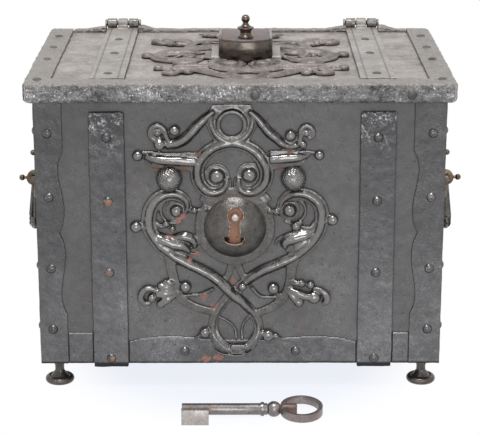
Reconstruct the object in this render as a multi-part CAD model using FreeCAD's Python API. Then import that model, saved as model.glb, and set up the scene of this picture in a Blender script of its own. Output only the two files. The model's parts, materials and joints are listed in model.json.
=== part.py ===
import FreeCAD
import Part
import math
import os

# Iron coffer chest with a bolt lock in the lid, and its key lying in front of it.
# Millimetres. X is to the right, Y to the back, Z up, and the floor is at Z = 0.
# The chest is drawn about its own middle, and the whole set is moved at the end so that
# the origin is on the floor under the middle of the set.

# Body
body_width = 288.0
body_depth = 201.0
body_height = 204.0
wall_sheet = 2.0
floor_sheet = 2.0
foot_height = 18.0

# Lid
lid_side_overhang = 6.0
lid_front_overhang = 5.8
lid_sheet = 2.0
lid_rear_gap = 0.5
rim_height = 14.5
rim_wall = 5.0
rim_round = 4.4
rim_edge_round = 0.9
flange_width = 18.0
flange_sheet = 2.0
rear_band_width = 8.0

# Bands and straps
corner_sheet = 1.5
corner_width_left = 20.0
corner_width_right = 22.5
corner_wave_depth = 3.8
corner_top_drop = 0.6
base_sheet = 1.2
base_height = 21.0
base_wave_depth = 4.0
base_short_height = 24.0
strap_sheet = 2.5
strap_width = 25.0
strap_left_inset = 51.0
strap_right_inset = 47.5
strap_top_drop = 17.0
ledge_sheet = 2.0
ledge_width = 10.0

# Rivets
rivet_head_radius = 3.4
rivet_head_height = 2.0
rivet_shank_radius = 1.5
corner_rivet_inset = 9.5
base_rivet_x = 40.0
base_rivet_rise = 9.5
base_side_rivet_y = 45.0
rim_rivet_right_inset = 31.5
rim_rivet_middle_x = 10.5
rim_rivet_drop = 8.0

# Feet
foot_inset = 12.0
foot_sole_radius = 9.0
foot_disc_radius = 10.5
foot_disc_height = 4.6
foot_waist_radius = 3.3
foot_top_radius = 5.0
foot_tenon_radius = 2.5

# Hinges
hinge_back = 2.5
hinge_rise = 3.5
knuckle_radius = 4.0
hinge_pin_radius = 1.8
hinge_pin_head = 2.9
hinge_pin_head_length = 1.6
knuckle_gap = 0.4
hinge_notch_drop = 1.2
tongue_length = 6.0

# Scrollwork
front_scroll_offset = -5.15
front_scroll_side_gap = 9.25
front_scroll_top_drop = 13.8
front_scroll_bottom_rise = 8.5
lid_scroll_side_gap = 3.25
lid_scroll_front_gap = 3.5
scroll_sheet = 2.2
scroll_relief = 1.8
scroll_flange_radius = 28.0
scroll_ball_radius = 8.8
scroll_knob_radius = 4.2
scroll_bud_radius = 3.2
scroll_ring_radius = 8.6
scroll_ring_band = 3.4

# Boss and false keyhole
boss_radius = 22.5
boss_rise = 11.0
boss_sheet = 1.6
false_eye_radius = 5.8
false_eye_rise = 8.4
false_slot_width = 6.2
false_slot_drop = 13.8
false_foot_width = 14.0
false_foot_height = 5.0
packing_radius = 15.5
packing_height = 4.0
boss_pin_radius = 2.4
boss_pin_length = 6.0

# Handles
handle_half_span = 36.0
handle_height = 140.0
handle_stand_off = 9.5
handle_eye_radius = 5.4
handle_eye_thickness = 4.6
handle_rosette_radius = 7.0
handle_rosette_sheet = 1.8
handle_shank_radius = 2.8
handle_knop_radius = 2.2
handle_knop_length = 5.6
handle_pivot_radius = 2.0
handle_pivot_length = 4.0
bail_arm_inset = 5.4
bail_rod_radius = 2.2
bail_grip_radius = 3.4
bail_collar_radius = 3.2
bail_collar_length = 2.4
bail_drop = 38.0
bail_bend = 9.0

# Keyhole housing on the lid
housing_x = 4.2
housing_rear = 14.5
housing_width = 39.0
housing_depth = 40.5
housing_height = 15.6
housing_bow = 6.5
housing_wall = 2.0
cover_sheet = 2.0
cover_barrel_radius = 2.0
cover_pin_radius = 1.0
cover_rear_inset = 4.2
cover_wall_drop = 6.0
finial_inset = 10.0
finial_height = 17.0
finial_base_radius = 5.6
finial_waist_radius = 4.1
finial_bulge_radius = 6.0
finial_neck_radius = 1.9
finial_ball_radius = 3.1
finial_tenon_radius = 1.5

# Key
key_x = -40.6
key_y = -154.8
key_length = 98.0
key_barrel_radius = 4.1
key_bore_radius = 2.6
key_bore_depth = 26.0
key_bit_length = 18.8
key_bit_reach = 15.6
key_bit_web = 4.5
key_bit_bar = 4.6
key_bit_bar_height = 11.0
key_ward_width = 1.6
key_ward_depth = 6.0
key_collar_radius = 5.5
key_collar_length = 9.0
key_ring_radius = 4.9
key_ring_length = 2.4
key_neck_radius = 3.0
key_bow_length = 29.5
key_bow_width = 36.0
key_bow_band = 5.5
key_bow_sheet = 2.6
key_tang_length = 6.0

# Lock in the lid
lock_sheet = 2.0
lock_side_margin = 10.5
lock_front_margin = 3.0
lock_depth = 128.0
key_axis_y = 1.0
keyhole_gap = 0.6
bolt_width = 12.0
bolt_thickness = 4.7
bolt_travel = 9.0
bolt_tip_margin = 3.0
front_bolt_x = 45.0
crossbar_inset = 44.0
crossbar_end_margin = 6.0
stem_offset = 13.5
stem_rear_margin = 2.0
talon_depth = 3.6
talon_width = 12.0
crank_inset = 32.0
crank_arm = 24.0
crank_thickness = 3.0
crank_width = 9.0
crank_drop = 0.7
crank_pin_radius = 2.5
crank_pin_head = 4.4
crank_pin_head_length = 1.6
stud_radius = 2.0
stud_slot_spare = 1.6
side_bolt_inner_margin = 7.0
guide_wall = 2.4
guide_length = 9.0
front_guide_inset = 14.0
side_guide_inset = 8.0
stem_guide_inset = 12.0
bridge_drop = 14.0
bridge_sheet = 2.5
bridge_width = 14.0
bridge_left_reach = 24.0
bridge_right_reach = 34.0
bridge_leg = 3.0
drill_pin_radius = 2.4
drill_pin_top_drop = 6.0
spring_sheet = 0.9
spring_end_gap = 4.7
spring_height = 5.5
spring_block = 6.0

# Clearances and cuts
fit_gap = 0.3
pin_gap = 0.05
overrun = 1.0

# Places and outlines as shares of the sizes that they follow
corner_rivet_shares = (0.84, 0.613, 0.354, 0.129)
strap_rivet_shares = (0.826, 0.6, 0.341, 0.022)
side_rim_rivet_shares = (0.075, 0.41, 0.62, 0.84)
lid_strap_rivet_shares = (0.08, 0.46, 0.74)
corner_wave_shares = (
    ((0.775, 0.0), (0.71, 1.0), (0.63, 0.35), (0.565, 0.0), (0.485, 1.0)),
    ((0.485, 1.0), (0.41, 0.0), (0.345, 0.3), (0.255, 0.9), (0.187, 0.0)),
)
base_wave_shares = ((-1.0, 1.0), (-0.6, 0.0), (-0.2, 0.55), (0.2, 0.55), (0.6, 0.0), (1.0, 1.0))

# Scroll strands on the right half: points as shares of the ornament's half width and half height
# from the middle of the boss, with the strand's width at each end and in the middle as shares
# of the half width.
strand_shares = (
    (((0.17, 0.91), (0.264, 0.836), (0.359, 0.762), (0.442, 0.709), (0.526, 0.662), (0.616, 0.643),
      (0.7, 0.66), (0.735, 0.71)), (0.07, 0.075, 0.05)),
    (((0.03, 0.685), (0.1, 0.65), (0.216, 0.595), (0.31, 0.513), (0.351, 0.418), (0.333, 0.33),
      (0.26, 0.275), (0.162, 0.268), (0.085, 0.31), (0.06, 0.377), (0.1, 0.428), (0.165, 0.42)),
     (0.07, 0.085, 0.05)),
    (((0.555, 0.06), (0.475, 0.05), (0.429, 0.125), (0.462, 0.207), (0.542, 0.251), (0.633, 0.251),
      (0.734, 0.207), (0.811, 0.125), (0.832, 0.035), (0.805, -0.054), (0.727, -0.152),
      (0.629, -0.242), (0.499, -0.313), (0.349, -0.362), (0.218, -0.417), (0.118, -0.474),
      (0.0, -0.538), (-0.095, -0.637), (-0.185, -0.737), (-0.212, -0.829), (-0.181, -0.929),
      (-0.103, -1.0), (0.0, -1.03)), (0.06, 0.12, 0.055)),
    (((0.44, 0.12), (0.36, 0.126), (0.29, 0.13)), (0.05, 0.06, 0.05)),
    (((0.77, -0.083), (0.656, -0.097), (0.541, -0.124), (0.452, -0.18), (0.412, -0.242)),
     (0.06, 0.12, 0.04)),
    (((0.66, -0.22), (0.625, -0.32), (0.607, -0.417), (0.616, -0.502), (0.652, -0.559)),
     (0.06, 0.075, 0.06)),
    (((0.64, -0.5), (0.72, -0.53), (0.8, -0.55), (0.9, -0.585)), (0.08, 0.12, 0.09)),
    (((0.645, -0.545), (0.69, -0.595), (0.735, -0.635)), (0.06, 0.08, 0.06)),
    (((0.635, -0.51), (0.665, -0.48), (0.695, -0.455)), (0.06, 0.08, 0.06)),
    (((0.6, -0.432), (0.582, -0.516), (0.536, -0.601), (0.437, -0.651), (0.321, -0.687),
      (0.205, -0.74)), (0.055, 0.06, 0.055)),
    (((0.467, -0.566), (0.34, -0.559), (0.237, -0.524), (0.16, -0.46)), (0.02, 0.05, 0.05)),
    (((0.02, -0.285), (0.048, -0.376), (0.1, -0.46)), (0.06, 0.06, 0.06)),
    (((0.19, -0.76), (0.085, -0.815), (0.02, -0.9), (0.0, -0.98)), (0.04, 0.035, 0.04)),
    (((0.2, -0.87), (0.32, -0.89), (0.415, -0.925)), (0.07, 0.07, 0.012)),
)
bar_shares = ((0.32, 0.56), (0.6, 0.57), (0.9, 0.588), (0.9, 0.535), (0.83, 0.52), (0.79, 0.463),
              (0.5, 0.45), (0.32, 0.45))
crest_shares = ((-0.21, 0.93), (0.21, 0.93), (0.12, 0.86), (-0.12, 0.86))
foot_plate_shares = ((-0.08, -0.925), (0.08, -0.925), (0.08, -1.045), (-0.08, -1.045))
ring_share = 0.796
foot_shoulder_share = 0.62
foot_bulge_share = 0.5
foot_waist_shares = (0.5, 0.68)
bail_joint_share = 1.25
crank_hub_share = 0.7
finial_rise_shares = (0.08, 0.2, 0.4, 0.46, 0.58)
finial_neck_share = 1.3
ball_shares = (0.615, 0.368)
knob_shares = ((0.715, 0.735), (0.91, 0.55), (0.145, 0.385), (0.568, 0.115), (0.92, 0.02),
               (0.91, -0.59))
bud_shares = ((0.53, 0.715), (0.67, 0.615), (0.51, -0.52), (0.315, -0.885), (0.745, -0.645),
              (0.7, -0.45))
ridge_share = 0.5
strand_steps = 2

# Derived levels and planes
V = FreeCAD.Vector
UP = V(0, 0, 1)
floor_z = foot_height
floor_top = floor_z + floor_sheet
wall_top = floor_z + body_height
half_x = body_width / 2
half_y = body_depth / 2
wall_x = half_x - corner_sheet
wall_y = half_y - corner_sheet
inner_x = wall_x - wall_sheet
inner_y = wall_y - wall_sheet
plate_top = wall_top + lid_sheet
lid_top = plate_top + flange_sheet
lid_x = half_x + lid_side_overhang
lid_rear = wall_y - lid_rear_gap
lid_front = -half_y - lid_front_overhang
rim_bottom = lid_top - rim_height
flange_x = lid_x - flange_width
flange_y = lid_front + flange_width
hinge_y = wall_y + hinge_back
hinge_z = lid_top + hinge_rise
knuckle_length = (strap_width - 2 * knuckle_gap) / 3
strap_left_x = -half_x + strap_left_inset
strap_right_x = half_x - strap_right_inset
strap_places = (strap_left_x, strap_right_x)

parts = {}


def add(name, *shapes):
    parts[name] = shapes[0] if len(shapes) == 1 else Part.makeCompound(list(shapes))


def box(x0, x1, y0, y1, z0, z1):
    return Part.makeBox(x1 - x0, y1 - y0, z1 - z0, V(x0, y0, z0))


def rod(radius, start, end):
    run = end - start
    return Part.makeCylinder(radius, run.Length, start, run)


def prism(points, sweep):
    return Part.Face(Part.makePolygon(list(points) + [points[0]])).extrude(sweep)


def turned(start, *steps):
    """Solid of revolution about Z: each step is a line to (radius, height), or an arc through a point."""
    edges = []
    here = V(start[0], 0, start[1])
    for step in steps:
        there = V(step[-2], 0, step[-1])
        if len(step) == 2:
            edges.append(Part.LineSegment(here, there).toShape())
        else:
            edges.append(Part.Arc(here, V(step[0], 0, step[1]), there).toShape())
        here = there
    edges.append(Part.LineSegment(here, V(start[0], 0, start[1])).toShape())
    return Part.makeSolid(Part.Face(Part.Wire(edges)).revolve(V(0, 0, 0), UP, 360))


def aimed(shape, point, direction):
    copy = shape.copy()
    copy.Placement = FreeCAD.Placement(point, FreeCAD.Rotation(UP, direction))
    return copy


def mirrored(shape):
    return shape.mirror(V(0, 0, 0), V(1, 0, 0))


def fused(shapes):
    shapes = list(shapes)
    return shapes[0].multiFuse(shapes[1:]).removeSplitter()


def rivets_and_holes(places, grip):
    """Round-headed rivets standing on a surface, with the holes that their shanks go through."""
    ball = (rivet_head_radius ** 2 + rivet_head_height ** 2) / (2 * rivet_head_height)
    half_turn = math.asin(rivet_head_radius / ball) / 2
    bulge = ball * math.sin(half_turn)
    rise = rivet_head_height - ball * (1 - math.cos(half_turn))
    one = turned((0, rivet_head_height), (bulge, rise, rivet_head_radius, 0), (rivet_shank_radius, 0),
                 (rivet_shank_radius, -grip), (0, -grip))
    hole = Part.makeCylinder(rivet_shank_radius + pin_gap, grip + 2 * overrun, V(0, 0, -grip - overrun))
    rivets = [aimed(one, point, normal) for point, normal in places]
    holes = Part.makeCompound([aimed(hole, point, normal) for point, normal in places])
    return rivets, holes


def height_at(share):
    return floor_z + share * body_height


# Rivet places on the body: on the corner bands, the straps and the base bands.
LEFT = V(-1, 0, 0)
RIGHT = V(1, 0, 0)
FRONT = V(0, -1, 0)
BACK = V(0, 1, 0)
corner_x = half_x - corner_rivet_inset
corner_y = half_y - corner_rivet_inset
corner_front_places = []
corner_back_places = []
corner_left_places = []
corner_right_places = []
for share in corner_rivet_shares:
    for side in (-1, 1):
        corner_front_places.append((V(side * corner_x, -half_y, height_at(share)), FRONT))
        corner_back_places.append((V(side * corner_x, half_y, height_at(share)), BACK))
        corner_left_places.append((V(-half_x, side * corner_y, height_at(share)), LEFT))
        corner_right_places.append((V(half_x, side * corner_y, height_at(share)), RIGHT))
strap_front_places = []
strap_back_places = []
for share in strap_rivet_shares:
    for x in strap_places:
        strap_front_places.append((V(x, -wall_y - strap_sheet, height_at(share)), FRONT))
        strap_back_places.append((V(x, wall_y + strap_sheet, height_at(share)), BACK))
base_rivet_z = floor_z + base_rivet_rise
base_front_places = []
base_back_places = []
base_left_places = []
base_right_places = []
for side in (-1, 1):
    base_front_places.append((V(side * base_rivet_x, -wall_y - base_sheet, base_rivet_z), FRONT))
    base_back_places.append((V(side * base_rivet_x, wall_y + base_sheet, base_rivet_z), BACK))
    base_left_places.append((V(-wall_x - base_sheet, side * base_side_rivet_y, base_rivet_z), LEFT))
    base_right_places.append((V(wall_x + base_sheet, side * base_side_rivet_y, base_rivet_z), RIGHT))

corner_grip = corner_sheet + wall_sheet
strap_grip = strap_sheet + wall_sheet
base_grip = base_sheet + wall_sheet
groups = {
    "front": (corner_front_places, strap_front_places, base_front_places),
    "back": (corner_back_places, strap_back_places, base_back_places),
    "left": (corner_left_places, [], base_left_places),
    "right": (corner_right_places, [], base_right_places),
}
body_holes = {}
for face, (corner_places, strap_places_here, base_places) in groups.items():
    rivets = []
    holes = []
    for places, grip in ((corner_places, corner_grip), (strap_places_here, strap_grip),
                         (base_places, base_grip)):
        if places:
            some_rivets, some_holes = rivets_and_holes(places, grip)
            rivets += some_rivets
            holes.append(some_holes)
    body_holes[face] = Part.makeCompound(holes)
    add(face + "_rivets", *rivets)

# Sheet panels of the body: front and back run the full width, the sides stand between them.
# Handle rosettes are riveted to the sides by a shank through the sheet.
eye_x = wall_x + handle_stand_off


def eye_holes(side):
    ends = (V(side * (inner_x - overrun), 0, 0), V(side * (wall_x + overrun), 0, 0))
    holes = []
    for end in (-1, 1):
        place = V(0, end * handle_half_span, handle_height)
        holes.append(rod(handle_shank_radius + pin_gap, ends[0] + place, ends[1] + place))
    return Part.makeCompound(holes)


front = box(-wall_x, wall_x, -wall_y, -inner_y, floor_z, wall_top)
add("front_panel", front.cut(body_holes["front"]))
back = box(-wall_x, wall_x, inner_y, wall_y, floor_z, wall_top)
add("back_panel", back.cut(body_holes["back"]))
left = box(-wall_x, -inner_x, -inner_y, inner_y, floor_z, wall_top)
add("left_panel", left.cut(body_holes["left"]).cut(eye_holes(-1)))
right = box(inner_x, wall_x, -inner_y, inner_y, floor_z, wall_top)
add("right_panel", right.cut(body_holes["right"]).cut(eye_holes(1)))

# Feet: turned discs on a waisted stem, with a tenon through the bottom panel.
foot_x = half_x - foot_inset
foot_y = half_y - foot_inset
shoulder_radius = foot_shoulder_share * foot_disc_radius
bulge_height = foot_bulge_share * foot_disc_height
one_foot = turned(
    (0, 0), (foot_sole_radius, 0),
    (foot_disc_radius, bulge_height, shoulder_radius, foot_disc_height),
    (foot_waist_radius, foot_waist_shares[0] * foot_height),
    (foot_waist_radius, foot_waist_shares[1] * foot_height),
    (foot_top_radius, foot_height),
    (foot_tenon_radius, foot_height), (foot_tenon_radius, foot_height + floor_sheet),
    (0, foot_height + floor_sheet))
bottom = box(-inner_x, inner_x, -inner_y, inner_y, floor_z, floor_top)
for across, x in (("left", -foot_x), ("right", foot_x)):
    for along, y in (("front", -foot_y), ("rear", foot_y)):
        add(along + "_" + across + "_foot", one_foot.translated(V(x, y, 0)))
        tenon = V(x, y, floor_z - overrun)
        tenon_end = tenon + UP * (floor_sheet + 2 * overrun)
        bottom = bottom.cut(rod(foot_tenon_radius + pin_gap, tenon, tenon_end))
add("bottom_panel", bottom)

# Corner bands: angle irons over the upright corners, with wavy inner edges and plain ends.
corner_bottom = floor_z
corner_height = body_height - corner_top_drop


def corner_leg(width):
    """Flat leg in the X-Z plane, X from the corner inwards, with the thickness along -Y."""
    def at(rise, depth):
        return V(width - depth * corner_wave_depth, 0, corner_bottom + rise * corner_height)
    outer = [V(0, 0, corner_bottom), V(0, 0, corner_bottom + corner_height)]
    outer.append(V(width, 0, corner_bottom + corner_height))
    outer.append(at(*corner_wave_shares[0][0]))
    edges = [Part.LineSegment(a, b).toShape() for a, b in zip(outer, outer[1:])]
    for wave in corner_wave_shares:
        curve = Part.BSplineCurve()
        curve.interpolate([at(*point) for point in wave])
        edges.append(curve.toShape())
    last = [at(*corner_wave_shares[-1][-1]), V(width, 0, corner_bottom), V(0, 0, corner_bottom)]
    edges += [Part.LineSegment(a, b).toShape() for a, b in zip(last, last[1:])]
    return Part.Face(Part.Wire(edges)).extrude(V(0, -corner_sheet, 0))


def corner_band(width, side, end):
    """Angle for the corner at X side and Y end, folded from two legs."""
    front_leg = corner_leg(width).translated(V(-half_x, -wall_y, 0))
    side_leg = corner_leg(width).mirror(V(0, 0, 0), V(0, 1, 0))
    side_leg.rotate(V(0, 0, 0), UP, 90)
    side_leg = side_leg.translated(V(-wall_x, -half_y, 0))
    band = fused([front_leg, side_leg])
    if side > 0:
        band = band.mirror(V(0, 0, 0), RIGHT)
    if end > 0:
        band = band.mirror(V(0, 0, 0), BACK)
    return band


for across, side, width in (("left", -1, corner_width_left), ("right", 1, corner_width_right)):
    for along, end, face in (("front", -1, "front"), ("rear", 1, "back")):
        band = corner_band(width, side, end).cut(body_holes[face]).cut(body_holes[across])
        add(along + "_" + across + "_corner_band", band)

# Base bands: strips along the foot of each wall, with a wavy top edge between the straps.


def wavy_strip(start, end, height, wave):
    """Strip in the X-Z plane from start to end along X, with its thickness along -Y."""
    middle = (start + end) / 2
    half = (end - start) / 2
    curve = Part.BSplineCurve()
    crest = [V(middle + u * half, 0, floor_z + height - d * wave) for u, d in base_wave_shares]
    curve.interpolate(crest)
    corners = [crest[-1], V(end, 0, floor_z), V(start, 0, floor_z), crest[0]]
    edges = [curve.toShape()]
    edges += [Part.LineSegment(a, b).toShape() for a, b in zip(corners, corners[1:])]
    return Part.Face(Part.Wire(edges)).extrude(V(0, -base_sheet, 0))


strap_edge = strap_width / 2
band_left = -half_x + corner_width_left
band_right = half_x - corner_width_right
middle_strip = wavy_strip(strap_left_x + strap_edge, strap_right_x - strap_edge, base_height,
                          base_wave_depth)
front_base = [middle_strip.translated(V(0, -wall_y, 0))]
for x0, x1 in ((band_left, strap_left_x - strap_edge), (strap_right_x + strap_edge, band_right)):
    front_base.append(box(x0, x1, -wall_y - base_sheet, -wall_y, floor_z, floor_z + base_short_height))
back_base = [strip.mirror(V(0, 0, 0), BACK) for strip in front_base]
add("front_base_band", *[strip.cut(body_holes["front"]) for strip in front_base])
add("back_base_band", *[strip.cut(body_holes["back"]) for strip in back_base])
for across, side, width in (("left", -1, corner_width_left), ("right", 1, corner_width_right)):
    strip = wavy_strip(-half_y + width, half_y - width, base_height, base_wave_depth)
    strip.rotate(V(0, 0, 0), UP, 90 * side)
    strip = strip.translated(V(side * wall_x, 0, 0))
    add(across + "_base_band", strip.cut(body_holes[across]))

# Binding straps: down the front, under the bottom and up the back, where two knuckles of the
# hinge are rolled round the pin. The gap between them takes the knuckle of the lid strap.
strap_low = floor_z - strap_sheet
strap_out = wall_y + strap_sheet
hinge_bore = hinge_pin_radius + pin_gap


def hinge_rod(radius, x0, x1):
    return rod(radius, V(x0, hinge_y, hinge_z), V(x1, hinge_y, hinge_z))


for across, x in (("left", strap_left_x), ("right", strap_right_x)):
    x0 = x - strap_edge
    x1 = x + strap_edge
    middle0 = x0 + knuckle_length
    middle1 = x1 - knuckle_length
    front_run = box(x0, x1, -strap_out, -wall_y, strap_low, wall_top - strap_top_drop)
    under_run = box(x0, x1, -strap_out, strap_out, strap_low, floor_z)
    back_run = box(x0, x1, wall_y, strap_out, strap_low, hinge_z)
    strap = fused([front_run, under_run, back_run, hinge_rod(knuckle_radius, x0, middle0),
                   hinge_rod(knuckle_radius, middle1, x1)])
    notch_top = hinge_z + knuckle_radius + overrun
    notch = box(middle0, middle1, wall_y - overrun, hinge_y + knuckle_radius + overrun,
                wall_top - hinge_notch_drop, notch_top)
    lid_room = box(x0, x1, lid_rear - overrun, wall_y, wall_top, lid_top)
    strap = strap.cut(notch).cut(lid_room).cut(hinge_rod(hinge_bore, x0 - overrun, x1 + overrun))
    add(across + "_binding_strap", strap.cut(body_holes["front"]).cut(body_holes["back"]))
    head = hinge_pin_head_length
    pin = fused([hinge_rod(hinge_pin_radius, x0 - pin_gap, x1 + pin_gap),
                 hinge_rod(hinge_pin_head, x0 - pin_gap - head, x0 - pin_gap),
                 hinge_rod(hinge_pin_head, x1 + pin_gap, x1 + pin_gap + head)])
    add(across + "_hinge_pin", pin)
    run = box(x0, x1, flange_y, lid_rear, plate_top, plate_top + strap_sheet)
    tongue0 = middle0 + knuckle_gap
    tongue1 = middle1 - knuckle_gap
    tongue_top = hinge_z - hinge_pin_radius
    tongue = box(tongue0, tongue1, lid_rear - tongue_length, hinge_y, plate_top, tongue_top)
    lid_strap = fused([run, tongue, hinge_rod(knuckle_radius, tongue0, tongue1)])
    parts[across + "_lid_strap"] = lid_strap.cut(hinge_rod(hinge_bore, x0, x1))

# Ledges inside the mouth, flush with the top of the walls, for the bolts to catch under.
ledge_low = wall_top - ledge_sheet
ledge_x = inner_x - ledge_width
ledge_y = inner_y - ledge_width
add("mouth_ledges", box(-inner_x, inner_x, -inner_y, -ledge_y, ledge_low, wall_top),
    box(-inner_x, -ledge_x, -ledge_y, inner_y, ledge_low, wall_top),
    box(ledge_x, inner_x, -ledge_y, inner_y, ledge_low, wall_top))

# Scrollwork: a pierced plate cut from flat strands, with a raised ridge along each strand
# and round knobs. It is drawn in the X-Z plane about the boss, with the relief along -Y.


def smooth(points):
    curve = Part.BSplineCurve()
    curve.interpolate(points)
    count = (len(points) - 1) * strand_steps
    first = curve.FirstParameter
    last = curve.LastParameter
    marks = [first + (last - first) * i / count for i in range(count + 1)]
    return [(curve.value(mark), curve.tangent(mark)[0]) for mark in marks]


def ribbon(points, widths):
    """Flat strand along a smooth line, with its width going from start over middle to end."""
    left_side = []
    right_side = []
    line = smooth(points)
    for i, (point, heading) in enumerate(line):
        t = i / (len(line) - 1)
        width = widths[0] * (1 - t) * (1 - t) + widths[1] * 2 * t * (1 - t) + widths[2] * t * t
        across = V(-heading.z, 0, heading.x) * (width / 2)
        left_side.append(point + across)
        right_side.append(point - across)
    ring = left_side + right_side[::-1]
    return Part.Face(Part.makePolygon(ring + [ring[0]]))


def disc(centre, radius):
    return Part.Face(Part.Wire(Part.Circle(centre, FRONT, radius).toShape()))


def scrollwork(half_width, half_height):
    """Solids of one ornament: the pierced plate with its ridges, and the knobs on it."""
    def at(share):
        return V(share[0] * half_width, 0, share[1] * half_height)

    def both(face):
        return [face, mirrored(face)]

    plate_faces = [disc(V(0, 0, 0), scroll_flange_radius)]
    ridge_faces = []
    for shares, width_shares in strand_shares:
        points = [at(share) for share in shares]
        widths = [share * half_width for share in width_shares]
        plate_faces += both(ribbon(points, widths))
        ridge_faces += both(ribbon(points, [width * ridge_share for width in widths]))
    for outline in (bar_shares, crest_shares, foot_plate_shares):
        corners = [at(share) for share in outline]
        plate_faces += both(Part.Face(Part.makePolygon(corners + [corners[0]])))
    ring_middle = at((0, ring_share))
    half_band = scroll_ring_band / 2
    plate_faces.append(disc(ring_middle, scroll_ring_radius + half_band).cut(
        disc(ring_middle, scroll_ring_radius - half_band)))
    rounds = [(at(ball_shares), scroll_ball_radius)]
    rounds += [(at(share), scroll_knob_radius) for share in knob_shares]
    rounds += [(at(share), scroll_bud_radius) for share in bud_shares]
    round_faces = []
    for centre, radius in rounds:
        round_faces += both(disc(centre, radius))
    plate = plate_faces[0].multiFuse(plate_faces[1:] + round_faces).removeSplitter()
    covered = round_faces + [disc(V(0, 0, 0), scroll_flange_radius)]
    ridges = ridge_faces[0].multiFuse(ridge_faces[1:]).cut(Part.makeCompound(covered)).removeSplitter()
    relief = scroll_sheet + scroll_relief
    low = [face.extrude(V(0, -scroll_sheet, 0)) for face in plate.Faces]
    high = [face.extrude(V(0, -relief, 0)) for face in ridges.Faces]
    body = fused(low + high)
    knobs = []
    for centre, radius in rounds:
        top = Part.makeSphere(radius, centre - V(0, scroll_sheet, 0), FRONT, 0, 90, 360)
        knobs += [top, mirrored(top)]
    return body, knobs


straps_half_gap = (strap_right_x - strap_left_x - strap_width) / 2
crest_share = crest_shares[0][1]
front_scroll_top = wall_top - front_scroll_top_drop
front_scroll_bottom = floor_z + front_scroll_bottom_rise
scroll_reach_share = crest_share - foot_plate_shares[-1][1]
front_scroll_half_height = (front_scroll_top - front_scroll_bottom) / scroll_reach_share
front_scroll_x = (strap_left_x + strap_right_x) / 2 + front_scroll_offset
front_scroll_z = front_scroll_top - crest_share * front_scroll_half_height
front_plate, front_knobs = scrollwork(straps_half_gap - front_scroll_side_gap, front_scroll_half_height)
front_place = V(front_scroll_x, -wall_y, front_scroll_z)
front_plate = front_plate.translated(front_place).cut(parts["front_base_band"])
add("front_scrollwork", *(front_plate.Solids + [knob.translated(front_place) for knob in front_knobs]))

# Boss: a hollow dome with a false keyhole, packed with red lead, and a fixed pin in the eye.
boss_y = -wall_y - scroll_sheet
boss_middle = V(front_scroll_x, boss_y, front_scroll_z)
sphere_radius = (boss_radius ** 2 + boss_rise ** 2) / (2 * boss_rise)
sphere_middle = boss_middle + BACK * (sphere_radius - boss_rise)
shell = Part.makeSphere(sphere_radius, sphere_middle).cut(
    Part.makeSphere(sphere_radius - boss_sheet, sphere_middle))
front_half = box(front_scroll_x - sphere_radius, front_scroll_x + sphere_radius,
                 boss_y - boss_rise - overrun, boss_y,
                 front_scroll_z - sphere_radius, front_scroll_z + sphere_radius)
false_slot_low = front_scroll_z - false_slot_drop
false_eye = V(front_scroll_x, boss_y, front_scroll_z + false_eye_rise)
cut_y = boss_y - boss_rise - overrun
false_keyhole = fused([
    rod(false_eye_radius, false_eye, false_eye + FRONT * (boss_rise + overrun)),
    box(front_scroll_x - false_slot_width / 2, front_scroll_x + false_slot_width / 2, cut_y, boss_y,
        false_slot_low, false_eye.z),
    box(front_scroll_x - false_foot_width / 2, front_scroll_x + false_foot_width / 2, cut_y, boss_y,
        false_slot_low, false_slot_low + false_foot_height)])
add("boss_dome", shell.common(front_half).cut(false_keyhole))
packing_top = boss_middle + FRONT * packing_height
add("boss_packing", rod(packing_radius, boss_middle, packing_top))
pin_foot = V(false_eye.x, packing_top.y, false_eye.z)
add("boss_pin", rod(boss_pin_radius, pin_foot, pin_foot + FRONT * boss_pin_length))

# Handles: eyes with a rosette and an outward knop, and a bail that hangs between them.
bail_arm_y = handle_half_span - bail_arm_inset


def handle_eye(end):
    y = end * handle_half_span
    level = V(0, y, handle_height)
    half = handle_eye_thickness / 2
    ring = rod(handle_eye_radius, V(eye_x, y - half, handle_height), V(eye_x, y + half, handle_height))
    rosette = rod(handle_rosette_radius, V(wall_x, 0, 0) + level,
                  V(wall_x + handle_rosette_sheet, 0, 0) + level)
    shank = rod(handle_shank_radius, V(inner_x, 0, 0) + level,
                V(eye_x - handle_pivot_radius - fit_gap, 0, 0) + level)
    outer = eye_x + handle_eye_radius + handle_knop_length - handle_knop_radius
    knop_neck = rod(handle_knop_radius / 2, V(eye_x + handle_pivot_radius + fit_gap, 0, 0) + level,
                    V(outer, 0, 0) + level)
    knop = Part.makeSphere(handle_knop_radius, V(outer, 0, 0) + level)
    eye = fused([ring, rosette, shank, knop_neck, knop])
    return eye.cut(rod(handle_pivot_radius + fit_gap, V(eye_x, y - handle_eye_radius, handle_height),
                       V(eye_x, y + handle_eye_radius, handle_height)))


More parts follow.
